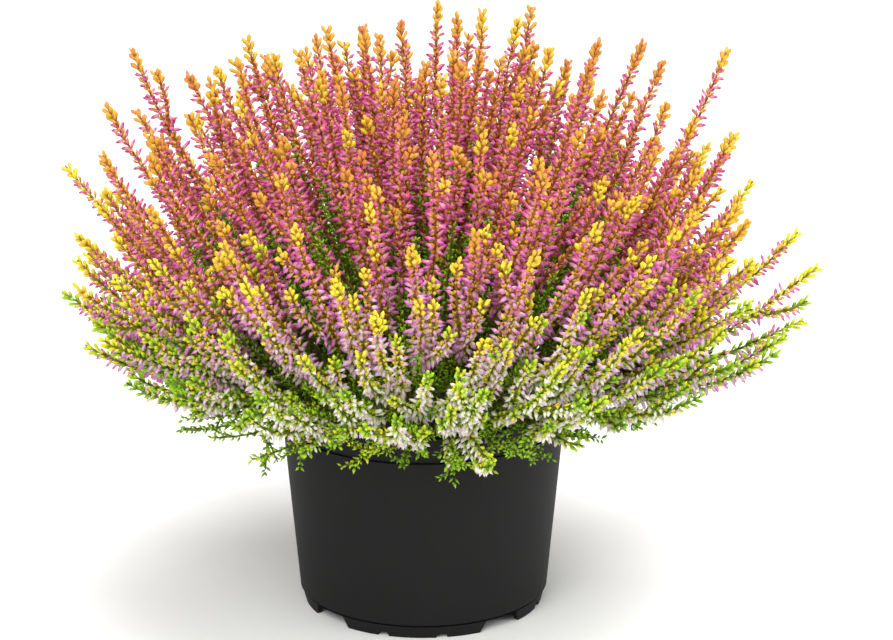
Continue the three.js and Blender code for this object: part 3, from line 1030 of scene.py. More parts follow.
    def grouped(self) -> list[list[Spike]]:
        """Shares the spikes out among the branches that carry them.

        Returns:
            The spikes of each branch, of which the first stands in the soil and carries the others.
        """
        lowest = math.cos(math.radians(self.lowest_lean))
        middles = []
        for number in range(self.branches):
            level = math.acos(1 - ((number + 0.5) / self.branches) * (1 - lowest))
            middles.append(self.direction(number * GOLDEN_ANGLE, level))
        groups: list[list[Spike]] = [[] for _ in middles]
        for spike in self.spikes():
            nearest = int(np.argmax([middle @ spike.direction for middle in middles]))
            groups[nearest].append(spike)
        groups = [group for group in groups if group]
        for index, group in enumerate(groups):
            middle = unit(np.sum([spike.direction for spike in group], axis=0))
            reach = sum(spike.reach for spike in group) / len(group)
            group.sort(key=lambda spike: angle_between(spike.direction, middle))
            for order, spike in enumerate(group):
                drawn = draw(index * self.seeds_a_branch + order, DRAW_FORK)
                chosen = lerp(self.fork_first, self.fork_last, drawn)
                spike.rooted = order == 0
                spike.host, spike.host_reach = middle, reach
                spike.fork = self.trunk_fork if spike.rooted else chosen
                spike.start = 0.0 if spike.rooted else chosen - self.root_overlap
        return groups

    def way(self, spike: Spike) -> Way:
        """The line that a spike grows along.

        Args:
            spike: The spike.

        Returns:
            Its line, from the stem or hole that it starts in to its tip.
        """
        shares = np.linspace(spike.start, spike.end, self.path_points + 1)
        turn = smoothstep(shares, spike.fork, spike.fork + self.fork_spread)[:, None]
        directions = unit(spike.host + (spike.direction - spike.host) * turn)
        reaches = spike.host_reach + (spike.reach - spike.host_reach) * turn[:, 0]
        knots = self.stem_points(directions, reaches, shares)
        if spike.rooted:
            foot, neck = knots[0].copy(), knots[0].copy()
            foot[2] = self.soil_top - self.hole_depth + self.clearance
            neck[2] = self.soil_top + self.neck_rise
            knots = np.concatenate([[foot, neck], self.swayed(knots, shares, spike)[1:]])
            return Way.through(knots)
        for _ in range(self.smoothing_passes):
            for k in range(1, len(knots) - 1):
                knots[k] = (knots[k] + (knots[k - 1] + knots[k + 1]) / 2) / 2
        return Way.through(self.swayed(knots, shares, spike))

    def swayed(self, knots: np.ndarray, shares: np.ndarray, spike: Spike) -> np.ndarray:
        """Makes a spike sway a little, each in its own way, and turns its tip up where it is nearly level.

        Args:
            knots: The places that it passes.
            shares: How far along its way each is.
            spike: The spike.

        Returns:
            The places that it then passes.
        """
        seed = self.sway_seeds[0] * spike.direction[0] + self.sway_seeds[1] * spike.direction[1]
        across = unit(np.cross(spike.direction, UP))
        third = np.cross(spike.direction, across)
        growing = self.sway * np.clip((shares - self.sway_from) / self.sway_over, 0, 1)
        one = growing * np.sin(self.sway_waves[0] * shares + seed)
        other = growing * np.sin(self.sway_waves[1] * shares + self.sway_shift * seed)
        level = smoothstep(np.hypot(*spike.direction[:2]), *self.level_range)
        late = np.clip((shares - self.lift_from) / self.lift_over, 0, self.lift_most)
        lifted = spike.lift * level * late**2
        return knots + one[:, None] * across + other[:, None] * third + lifted[:, None] * UP

    def sun(self, places: np.ndarray) -> np.ndarray:
        """How much sun reaches places in the crown: 0 low down, at the front above all, and 1 at the top."""
        height = places[:, 2] - self.rim_height
        front = np.clip(-places[:, 1] / self.front_depth, 0, 1)
        side = np.clip(np.abs(places[:, 0]) / self.side_width, 0, 1)
        lit = height - self.sun_from - self.sun_front * front - self.sun_side * side**2
        span = self.sun_span + self.sun_front_span * front + self.sun_side_span * side
        return np.clip(lit / span, 0, 1)

    def bloom(self, places: np.ndarray) -> np.ndarray:
        """How deeply flowers at places are coloured, from 0 low at the front to 1 at the top."""
        height = places[:, 2] - self.rim_height
        front = np.clip(-places[:, 1] / self.front_depth, 0, 1)
        lit = height + self.bloom_under - self.bloom_front * front
        return np.clip(lit / (self.bloom_span + self.bloom_front_span * front), 0, 1)


# Leaves, buds and what carries them


@dataclass
class Growth:
    """How buds and leaves are set along stems.

    Fields:
        plan: The plan of the crown.
        bud: The shape of a bud.
        plain_bud: The shape of a bud inside the crown, with fewer faces.
        tip_leaf: The shape of a plump leaf at a tip.
        stem_leaf: The shape of a small leaf on a stem.
        scale: The shape of a scale leaf that lies along a flowering stem.
    """

    plan: CrownPlan
    bud: SmallShape
    plain_bud: SmallShape
    tip_leaf: SmallShape
    stem_leaf: SmallShape
    scale: SmallShape
    # How far a pair strays along its stem
    stray: float = 0.25
    bud_pitch: float = 2.15
    bud_length: float = 5.1
    bud_radius: float = 0.9
    # How far buds stray round the stem, in radians, and how far out they stand
    bud_jitter: float = 0.4
    bud_offset: float = 0.4
    # The share of buds that is missing, everywhere and on top of level stems
    missing_buds: float = 0.1
    missing_above: float = 0.8
    # How much buds nod, more so on level stems and in shade, and how much they rise, more so at the top
    bud_nod: float = 0.12
    level_nod: float = 0.5
    shaded_nod: float = 0.25
    bud_rise: float = 0.3
    top_rise: float = 0.5
    rise_spread: float = 0.2
    # Sizes of buds against the usual one: by chance, at the top of a spike and where they are pale
    bud_lengths: tuple[float, float] = (0.84, 1.12)
    bud_widths: tuple[float, float] = (0.88, 1.12)
    top_bud_length: float = 0.68
    top_bud_width: float = 0.8
    pale_bud_length: float = 0.88
    pale_rate: float = 2.5
    bud_tone_spread: float = 0.08
    tip_length: float = 10
    tip_pitch: float = 1.7
    tip_leaf_length: float = 5.1
    tip_leaf_radius: float = 1.02
    # How far before the end the last leaves of a tip stand, and how they stray and stand out
    tip_bare: float = 3.2
    tip_jitter: float = 0.25
    tip_offset: float = 0.2
    tip_spread: tuple[float, float] = (0.72, 0.2)
    # Sizes of tip leaves against the usual one: in shade, by chance, and from the foot of the tip to its top
    shaded_tip_width: float = 0.72
    tip_growth: float = 2
    tip_growth_from: float = 0.4
    tip_lengths: tuple[float, float] = (0.8, 1.15)
    tip_widths: tuple[float, float] = (0.85, 1.15)
    tip_length_fade: tuple[float, float] = (0.9, 0.8)
    tip_width_fade: tuple[float, float] = (1.0, 0.75)
    # Tones of tips: the least, the one in shade, what sun adds, and how tips and their leaves differ
    least_tip_tone: float = 0.2
    tip_tone: float = 0.3
    sunny_tip_tone: float = 0.55
    tip_tone_spread: float = 0.08
    tip_leaf_rise: float = 0.1
    tip_leaf_spread: float = 0.035
    ring_pitch: float = 3.4
    bare_pitch: float = 6.0
    # Stems of spikes: how far before the end they stop, their radius from foot to top, and their tone
    stem_bare: float = 1.5
    stem_radii: tuple[float, float] = (1.0, 0.38)
    stem_tone: float = 1.1
    green_stem_share: float = 0.7
    scale_pitch: float = 1.7
    scale_length: float = 3.2
    scale_radius: float = 0.8
    scale_jitter: float = 0.25
    scale_offset: float = 0.4
    scale_spread: tuple[float, float] = (0.3, 0.75)
    scale_lengths: tuple[float, float] = (0.8, 1.2)
    scale_widths: tuple[float, float] = (0.9, 1.1)
    # How much longer and wider scale leaves are in shade, and how much wider they are set inside the crown
    shaded_scale_length: float = 0.2
    shaded_scale_width: float = 0.1
    inner_scale_pitch: float = 1.35
    # Tones of scale leaves: the one in shade, what full sun adds, where sun counts as full, and the spread
    scale_tone: float = 0.37
    sunny_scale_tone: float = 0.52
    full_sun: float = 0.6
    scale_tone_spread: float = 0.11
    leaf_pitch: float = 2.2
    leaf_length: float = 3.0
    leaf_radius: float = 0.6
    leaf_jitter: float = 0.3
    leaf_spread: tuple[float, float] = (0.8, 1.3)
    leaf_lengths: tuple[float, float] = (0.8, 1.2)
    leaf_widths: tuple[float, float] = (0.9, 1.1)
    leaf_tone_spread: float = 0.04
    leaf_tone_rise: float = 0.07
    # Leaves under the flowers: on stems bare for this long, over how much, from where on, and their tone
    least_bare_stem: float = 20
    leafy_stretch: float = 45
    leafy_from: float = 14
    low_leaf_tone: float = 0.12
    # Side shoots near the top of a spike: how they bend away, how far out, and the length of their tips
    shoot_places: tuple[float, ...] = (0, 0.34, 0.68, 1)
    shoot_bend: float = 0.38
    shoot_tip: tuple[float, float] = (0.6, 0.9)
    # Green shoots: their rings, radius and tone
    sprig_end: float = 0.5
    sprig_pitch: float = 0.7
    sprig_radii: tuple[float, float] = (0.7, 0.3)
    sprig_tone: float = 0.08
    # Their twigs: where the first and last stand, how they turn off, how long they are and how much they rise
    first_twig: float = 3
    last_twig: float = 6
    twig_stray: float = 0.6
    twig_lengths: tuple[float, float] = (8, 13)
    twig_spread: float = 0.9
    twig_rise: float = 0.12
    twig_radii: tuple[float, float, float] = (0.4, 0.35, 0.3)
    twig_tone: float = 0.12
    twig_bare: float = 1.5
    twig_leaf_tone: float = 0.04
    twig_leaf_size: float = 0.85

    def pairs(
        self, way: Way, distances: np.ndarray, rng: np.random.Generator, jitter: float
    ) -> tuple[np.ndarray, np.ndarray, np.ndarray, np.ndarray]:
        """Pairs of opposite places round a stem, each pair turned a quarter against the last.

        Args:
            way: The stem's line.
            distances: Where the pairs are.
            rng: The source of chance.
            jitter: How far they stray round the stem, in radians.

        Returns:
            Places on the line, directions of growth, directions out of the stem, and distances.
        """
        count = len(distances)
        turn = np.arange(count) * math.pi / 2 + rng.uniform(0, math.pi)
        angles = np.concatenate([turn, turn + math.pi]) + rng.normal(0, jitter, 2 * count)
        distances = np.concatenate([distances, distances])
        distances = np.clip(distances + rng.normal(0, self.stray, 2 * count), 0, way.length)
        place, forward, aside, across = way.at(distances)
        out = np.cos(angles)[:, None] * aside + np.sin(angles)[:, None] * across
        return place, forward, out, distances

    def tip(self, way: Way, length: float, rng: np.random.Generator, tone: float) -> Patch:
        """The knobbly cluster of young leaves at the end of a stem.

        Args:
            way: The stem's line.
            length: How long the cluster is.
            rng: The source of chance.
            tone: The share of sun of its leaves.

        Returns:
            The leaves of the cluster.
        """
        distances = np.arange(way.length - length, way.length - self.tip_bare, self.tip_pitch)
        place, forward, out, distances = self.pairs(way, distances, rng, self.tip_jitter)
        count = len(distances)
        share = np.clip((distances - way.length + length) / length, 0, 1)
        axes = forward + lerp(*self.tip_spread, share)[:, None] * out
        grown = np.clip(self.tip_growth * tone - self.tip_growth_from, 0, 1)
        size = lerp(self.shaded_tip_width, 1.0, grown)
        lengths = self.tip_leaf_length * rng.uniform(*self.tip_lengths, count)
        lengths *= lerp(*self.tip_length_fade, share)
        widths = size * self.tip_leaf_radius * rng.uniform(*self.tip_widths, count)
        widths *= lerp(*self.tip_width_fade, share)
        tones = tone + self.tip_leaf_rise * (share - 0.5) + rng.normal(0, self.tip_leaf_spread, count)
        return self.tip_leaf.copies(place + self.tip_offset * out, axes, widths, lengths, tones)

    def leaves(
        self,
        way: Way,
        start: float,
        end: float,
        rng: np.random.Generator,
        tone: float,
        size: float = 1.0,
    ) -> Patch:
        """Small scale leaves along a stretch of stem.

        Args:
            way: The stem's line.
            start: Where they begin, as a distance.
            end: Where they end.
            rng: The source of chance.
            tone: The share of sun of the leaves.
            size: Their size against the usual one.

        Returns:
            The leaves.
        """
        distances = np.arange(start, max(end, start + 1), self.leaf_pitch * size)
        place, forward, out, distances = self.pairs(way, distances, rng, self.leaf_jitter)
        count = len(place)
        axes = forward + rng.uniform(*self.leaf_spread, (count, 1)) * out
        lengths = size * self.leaf_length * rng.uniform(*self.leaf_lengths, count)
        widths = size * self.leaf_radius * rng.uniform(*self.leaf_widths, count)
        tones = tone + rng.normal(0, self.leaf_tone_spread, count)
        tones += self.leaf_tone_rise * (distances - start) / max(end - start, 1)
        return self.stem_leaf.copies(place, axes, widths, lengths, tones)

    def scales(
        self, way: Way, start: float, end: float, rng: np.random.Generator, pitch: float
    ) -> Patch:
        """Scale leaves that lie along a flowering stem: green in shade, golden and rusty in the sun.

        Args:
            way: The stem's line.
            start: Where they begin, as a distance.
            end: Where they end.
            rng: The source of chance.
            pitch: The distance between pairs.

        Returns:
            The scale leaves.
        """
        place, forward, out, _ = self.pairs(way, np.arange(start, end, pitch), rng, self.scale_jitter)
        count = len(place)
        axes = forward + rng.uniform(*self.scale_spread, (count, 1)) * out
        sun = self.plan.sun(place)
        lengths = self.scale_length * rng.uniform(*self.scale_lengths, count)
        lengths *= 1 + self.shaded_scale_length * (1 - sun)
        widths = self.scale_radius * rng.uniform(*self.scale_widths, count)
        widths *= 1 + self.shaded_scale_width * (1 - sun)
        tones = self.scale_tone + self.sunny_scale_tone * smoothstep(sun, 0, self.full_sun)
        tones += rng.normal(0, self.scale_tone_spread, count)
        return self.scale.copies(place + self.scale_offset * out, axes, widths, lengths, tones)

    def buds(
        self, way: Way, start: float, end: float, rng: np.random.Generator, shape: SmallShape
    ) -> Patch:
        """Flower buds along a stretch of stem: they stand out, nod a little and get smaller towards the tip.

        Args:
            way: The stem's line.
            start: Where they begin, as a distance.
            end: Where they end.
            rng: The source of chance.
            shape: The shape of a bud.

        Returns:
            The buds.
        """
        distances = np.arange(start, end, self.bud_pitch)
        place, forward, out, distances = self.pairs(way, distances, rng, self.bud_jitter)
        levelled = 1 - np.abs(forward[:, 2])
        missing = self.missing_buds + self.missing_above * levelled * np.clip(out[:, 2], 0, 1)
        kept = rng.uniform(0, 1, len(place)) > missing
        place, forward, out, distances = place[kept], forward[kept], out[kept], distances[kept]
        levelled = levelled[kept]
        count = len(place)
        share = np.clip((distances - start) / max(end - start, 1), 0, 1)
        bloom = self.plan.bloom(place)
        nod = self.bud_nod + self.level_nod * levelled + self.shaded_nod * (1 - bloom)
        rise = self.bud_rise + self.top_rise * share**2 + rng.normal(0, self.rise_spread, count)
        axes = out + rise[:, None] * forward - nod[:, None] * UP
        lengths = self.bud_length * rng.uniform(*self.bud_lengths, count)
        lengths *= lerp(1.0, self.top_bud_length, share**3)
        lengths *= lerp(self.pale_bud_length, 1.0, np.clip(bloom * self.pale_rate, 0, 1))
        widths = self.bud_radius * rng.uniform(*self.bud_widths, count)
        widths *= lerp(1.0, self.top_bud_width, share**3)
        tones = bloom + rng.normal(0, self.bud_tone_spread, count)
        return shape.copies(place + self.bud_offset * out, axes, widths, lengths, tones)

    def flower_spike(
        self,
        way: Way,
        flowers_from: float,
        rng: np.random.Generator,
        tip: float,
        inner: bool = False,
    ) -> list[Patch]:
        """A whole flower spike: its stem, leaves, buds and leafy tip.

        Args:
            way: The stem's line.
            flowers_from: Where its flowers begin, as a share of the line.
            rng: The source of chance.
            tip: The length of its leafy tip.
            inner: Whether it is one of the shorter spikes inside the crown.

        Returns:
            The patches that it is made of.
        """
        start = flowers_from * way.length
        end = way.length - tip
        bare = np.arange(0, start, self.bare_pitch)
        rings = np.concatenate([bare, np.arange(start, end, self.ring_pitch)])
        rings = np.append(rings, way.length - self.stem_bare)
        radii = lerp(*self.stem_radii, rings / way.length)
        places = way.at(rings)[0]
        sunny = rings > self.green_stem_share * start
        stem_tones = np.clip(self.plan.sun(places) * self.stem_tone * sunny, 0, 1)
        sun = float(self.plan.sun(way.points[-1:])[0])
        tone = self.tip_tone + self.sunny_tip_tone * sun + rng.normal(0, self.tip_tone_spread)
        tone = float(np.clip(tone, self.least_tip_tone, 1))
        shape = self.plain_bud if inner else self.bud
        pitch = self.scale_pitch * (self.inner_scale_pitch if inner else 1)
        patches = [
            scaly_stem(way, rings, radii, stem_tones),
            self.buds(way, start, end, rng, shape),
            self.scales(way, start, end, rng, pitch),
            self.tip(way, tip, rng, tone),
        ]
        if start > self.least_bare_stem:
            low = max(start - self.leafy_stretch, self.leafy_from)
            leaf_tone = self.low_leaf_tone + self.low_leaf_tone * sun
            patches.append(self.leaves(way, low, start, rng, leaf_tone))
        return patches

    def side_tip(self, way: Way, distance: float, length: float, rng: np.random.Generator) -> list[Patch]:
        """A short side shoot that leaves a spike near its top, with a few buds if it is long enough.

        Args:
            way: The line of the spike.
            distance: Where on it the shoot starts.
            length: How long the shoot is.
            rng: The source of chance.

        Returns:
            The patches that it is made of.
        """
        place, forward, aside, across = (value[0] for value in way.at(np.array([distance])))
        angle = rng.uniform(0, math.tau)
        out = math.cos(angle) * aside + math.sin(angle) * across
        turn = np.array(self.shoot_places)[:, None]
        bend = self.shoot_bend * length * np.sin(turn * math.pi / 2)
        knots = place + turn * length * forward + bend * out
        shoot = Way.through(knots, COARSE_STEPS)
        tip = min(shoot.length - 1, self.tip_length * rng.uniform(*self.shoot_tip))
        return self.flower_spike(shoot, 0.0, rng, tip, inner=True)

    def leafy_sprig(
        self,
        way: Way,
        bare: float,
        rng: np.random.Generator,
        tone: float,
        twigs: int,
    ) -> list[Patch]:
        """A green shoot with a few side twigs.

        Args:
            way: The shoot's line.
            bare: The distance along it without leaves.
            rng: The source of chance.
            tone: The share of sun of its leaves.
            twigs: How many side twigs it has.

        Returns:
            The patches that it is made of.
        """
        rings = np.arange(0, way.length - self.sprig_end, self.bare_pitch * self.sprig_pitch)
        radii = lerp(*self.sprig_radii, rings / way.length)
        patches = [
            scaly_stem(way, rings, radii, np.full(len(rings), self.sprig_tone)),
            self.leaves(way, bare, way.length - 1, rng, tone),
        ]
        for number in range(twigs):
            share = (number + 0.5) / twigs
            distance = lerp(bare + self.first_twig, way.length - self.last_twig, share)
            place, forward, aside, across = (value[0] for value in way.at(np.array([distance])))
            angle = rng.uniform(-self.twig_stray, self.twig_stray) + math.pi * (number % 2)
            out = math.cos(angle) * aside + math.sin(angle) * across
            length = rng.uniform(*self.twig_lengths)
            growth = unit(forward + self.twig_spread * out)
            knots = place + np.array([0, 0.5, 1])[:, None] * length * growth
            knots[2] += self.twig_rise * length * UP
            twig = Way.through(knots, COARSE_STEPS)
            stem_rings = np.array([0, length / 2, length - 1])
            radii = np.array(self.twig_radii)
            patches.append(scaly_stem(twig, stem_rings, radii, np.full(3, self.twig_tone)))
            leaf_tone = tone + self.twig_leaf_tone
            patches.append(
                self.leaves(twig, self.twig_bare, twig.length, rng, leaf_tone, self.twig_leaf_size)
            )
        return patches


@dataclass
class Crown:
    """The branches of flower spikes, with the shorter spikes and green shoots that fill them."""

    plan: CrownPlan
    growth: Growth
    seed: int = 4100
    inner_spikes: int = 290
    inner_end: tuple[float, float] = (0.62, 0.88)
    inner_fork: tuple[float, float] = (0.3, 0.42)
    inner_lift: float = 12.0
    inner_flowers: float = 0.3
    inner_front_lift: float = 0.05
    stray: float = 0.08
    front_spikes: int = 130
    front_end: tuple[float, float] = (0.5, 0.84)
    front_share: float = 0.5
    front_lean: float = 40
    front_drop: float = 6
    # By how many degrees shorter spikes stay above the plan's lowest, and how much lower the front goes
    raised: float = 4
    front_raise: float = 6
    # Over which leans, in degrees, shorter spikes get shorter still, and by what share
    low_leans: tuple[float, float] = (55, 80)
    low_shortening: float = 0.08
    # Lengths of leafy tips against the usual one
    tips: tuple[float, float] = (0.85, 1.25)
    inner_tips: tuple[float, float] = (0.6, 0.95)
    # Side shoots: the share of spikes that has one, its length and how far below the tip it ends
    forked_share: float = 0.4
    side_lengths: tuple[float, float] = (9, 30)
    side_below: tuple[float, float] = (4, 14)
    shoots: int = 410
    shoot_end: tuple[float, float] = (0.4, 0.68)
    shoot_start: float = 0.02
    shoot_knots: int = 6
    shoot_drop: float = 4
    shoot_tone: float = 0.05
    shoot_tone_spread: float = 0.14
    shoot_bare: float = 0.4
    shoot_twigs: int = 2
    # Angles that set the scattered sets apart
    inner_turn: float = 1.9
    front_turn: float = 0.7
    shoot_turn: float = 3.1
    # The last branch of each slot
    slots: tuple[tuple[int, str], ...] = (
        (20, "rose_flowers"),
        (34, "lilac_flowers"),
        (48, "white_flowers"),
    )

    def slot(self, number: int) -> str:
        """The material slot of a branch by its number, which starts at 1."""
        return next(name for last, name in self.slots if number <= last)

    def scattered(self, count: int, lowest: float, turn: float) -> list[tuple[float, float]]:
        """Directions spread evenly over the dome.

        Args:
            count: How many.
            lowest: The greatest lean, in degrees.
            turn: An angle in radians that sets them apart from other such sets.

        Returns:
            Azimuth and lean of each, in radians.
        """
        bottom = math.cos(math.radians(lowest))
        return [
            (
                (number * GOLDEN_ANGLE + turn) % (2 * math.pi),
                math.acos(1 - (number + 0.5) / count * (1 - bottom)),
            )
            for number in range(count)
        ]

    def nearest(self, groups: list[list[Spike]], direction: np.ndarray) -> tuple[int, Spike]:
        """The branch and the spike of it that lead nearest to a direction.

        Args:
            groups: The spikes of each branch.
            direction: The direction.

        Returns:
            The branch's index and its spike.
        """
        found = [
            (spike.direction @ direction, index, order)
            for index, group in enumerate(groups)
            for order, spike in enumerate(group)
        ]
        _, index, order = max(found)
        return index, groups[index][order]

    def side_spike(
        self,
        groups: list[list[Spike]],
        azimuth: float,
        lean: float,
        ends: tuple[float, float],
        rng: np.random.Generator,
    ) -> tuple[int, Spike]:
        """A shorter spike that forks off the spike that leads nearest to it.

        Args:
            groups: The spikes of each branch.
            azimuth: Where it leads, in radians from the front.
            lean: Its lean from upright, in radians.
            ends: The least and greatest share of the full length.
            rng: The source of chance.

        Returns:
            The index of the branch that carries it, and the shorter spike.
        """
        direction = self.plan.direction(azimuth, lean) + rng.normal(0, self.stray, 3)
        lowest = self.plan.lowest_lean - self.raised + self.front_raise * max(0, math.cos(azimuth)) ** 2
        direction[2] = max(direction[2], math.cos(math.radians(lowest)))
        direction = unit(direction)
        index, host = self.nearest(groups, direction)
        fork = rng.uniform(*self.inner_fork)
        low = smoothstep(lean, *(math.radians(limit) for limit in self.low_leans))
        end = rng.uniform(*ends) - self.low_shortening * low
        spike = Spike(
            direction,
            self.plan.reach(lean),
            end,
            host=host.direction,
            host_reach=host.reach,
            fork=fork,
            start=fork - self.plan.root_overlap,
            lift=self.inner_lift,
        )
        return index, spike

    def build(self, materials: list[bpy.types.Material]) -> None:
        """Builds a piece for each branch.

        Args:
            materials: The materials of the tissues.
        """
        rng = np.random.default_rng(self.seed)
        groups = self.plan.grouped()
        patches: list[list[Patch]] = [[] for _ in groups]
        for index, group in enumerate(groups):
            for spike in group:
                way = self.plan.way(spike)
                flowers = (self.plan.flowers_from - spike.start) / (spike.end - spike.start)
                tip = self.growth.tip_length * rng.uniform(*self.tips)
                patches[index] += self.growth.flower_spike(way, flowers, rng, tip)
                if rng.uniform() < self.forked_share:
                    length = rng.uniform(*self.side_lengths)
                    distance = way.length - length - rng.uniform(*self.side_below)
                    patches[index] += self.growth.side_tip(way, distance, length, rng)
        lowest = self.plan.lowest_lean
        inner = [
            (azimuth, lean * (1 - self.inner_front_lift * max(0, math.cos(azimuth))), self.inner_end)
            for azimuth, lean in self.scattered(self.inner_spikes, lowest, self.inner_turn)
        ]
        front = [
            (math.remainder(azimuth, math.tau) * self.front_share, lean, self.front_end)
            for azimuth, lean in self.scattered(
                self.front_spikes, lowest + self.front_drop, self.front_turn
            )
            if lean > math.radians(self.front_lean)
        ]
        for azimuth, lean, ends in inner + front:
            index, spike = self.side_spike(groups, azimuth, lean, ends, rng)
            way = self.plan.way(spike)
            tip = self.growth.tip_length * rng.uniform(*self.inner_tips)
            plain = ends is not self.front_end
            patches[index] += self.growth.flower_spike(way, self.inner_flowers, rng, tip, plain)
        for azimuth, lean in self.scattered(self.shoots, lowest + self.shoot_drop, self.shoot_turn):
            direction = self.plan.direction(azimuth, lean)
            index, _ = self.nearest(groups, direction)
            end = rng.uniform(*self.shoot_end)
            shares = np.linspace(self.shoot_start, end, self.shoot_knots)
            reach = np.full(self.shoot_knots, self.plan.reach(lean))
            directions = np.repeat(direction[None], self.shoot_knots, axis=0)
            knots = self.plan.stem_points(directions, reach, shares)
            way = Way.through(knots, COARSE_STEPS)
            frontal = 1 + max(0, math.sin(lean) * math.cos(azimuth))
            tone = self.shoot_tone + self.shoot_tone_spread * rng.uniform() * frontal
            bare = self.shoot_bare * way.length
            patches[index] += self.growth.leafy_sprig(way, bare, rng, tone, self.shoot_twigs)
        for index, found in enumerate(patches):
            number = index + 1
            piece = piece_of(f"flower_branch_{number:02d}", found)
            dress(piece, self.slot(number), materials, f"flowering_branch_{number:02d}")


@dataclass
class RimSprigs:
    """Green sprigs that hang over the rim, some in place of the solid shoots and some beside them."""

    plan: CrownPlan
    growth: Growth
    seed: int = 77
    root_circle: float = 50.5
    crest: float = 100
    reach: float = 71
    # How much further out a sprig is led while it rises, and while it hangs
    lean_out: float = 3
    lean_down: float = 1
    way_points: int = 9
    twigs: int = 4
    bare: float = 0.35
    tone: float = 0.16
    # Degrees from the front and the height of the tip of each solid shoot
    shoots: tuple[tuple[float, float], ...] = (
        (-62, 64),
        (10, 74),
        (22, 78),
        (96, 72),
        (160, 75),
        (-125, 74),
    )
    fringe: int = 40
    fringe_pieces: int = 4
    fringe_reach: tuple[float, float] = (72, 94)
    fringe_tip: tuple[float, float] = (80, 96)
    fringe_crest: tuple[float, float] = (101, 108)
    fringe_bare: float = 0.3
    fringe_tone: tuple[float, float] = (0.1, 0.1)
    flowering_every: int = 3
    flowers_from: float = 0.45
    flower_tip: float = 4.5

    def hanging_way(self, azimuth: float, tip: float, reach: float, crest: float) -> Way:
        """The line of a sprig that rises from the soil, crosses the rim and hangs.

        Args:
            azimuth: Its angle from the front, in degrees.
            tip: How high its tip hangs.
            reach: How far out it hangs.
            crest: How high it is led over the rim.

        Returns:
            Its line.
        """
        t = np.linspace(0, 1, self.way_points)[:, None]
        u = 1 - t
        ends = np.array(
            [
                (self.root_circle, self.plan.soil_top),
                (self.root_circle + self.lean_out, crest),
                (reach, crest),
                (reach + self.lean_down, tip),
            ]
        )
        flat = u**3 * ends[0] + 3 * u * u * t * ends[1] + 3 * u * t * t * ends[2] + t**3 * ends[3]
        turn = math.radians(azimuth)
        away = np.array([math.sin(turn), -math.cos(turn)])
        return Way.through(np.concatenate([away * flat[:, :1], flat[:, 1:]], axis=1))

    def build(self, materials: list[bpy.types.Material]) -> None:
        """Builds the sprigs that stand for the solid shoots, then the fringe beside them.

        Args:
            materials: The materials of the tissues.
        """
        rng = np.random.default_rng(self.seed)
        for number, (azimuth, tip) in enumerate(self.shoots, start=1):
            way = self.hanging_way(azimuth, tip, self.reach, self.crest)
            patches = self.growth.leafy_sprig(way, self.bare * way.length, rng, self.tone, self.twigs)
            piece = piece_of(f"hanging_sprig_{number}", patches)
            dress(piece, "green_leaves", materials, f"leafy_shoot_{number}")
        fringe: list[list[Patch]] = [[] for _ in range(self.fringe_pieces)]
        for number in range(self.fringe):
            azimuth = math.degrees(number * GOLDEN_ANGLE) % 360
            reach = rng.uniform(*self.fringe_reach)
            tip = rng.uniform(*self.fringe_tip)
            way = self.hanging_way(azimuth, tip, reach, rng.uniform(*self.fringe_crest))
            quarter = int(azimuth // (360 / self.fringe_pieces))
            if number % self.flowering_every == 0:
                fringe[quarter] += self.growth.flower_spike(
                    way, self.flowers_from, rng, self.flower_tip, inner=True
                )
            else:
                tone = self.fringe_tone[0] + self.fringe_tone[1] * rng.uniform()
                bare = self.fringe_bare * way.length
                fringe[quarter] += self.growth.leafy_sprig(way, bare, rng, tone, self.twigs)
        for number, patches in enumerate(fringe, start=1):
            dress(piece_of(f"rim_fringe_{number}", patches), "green_leaves", materials)


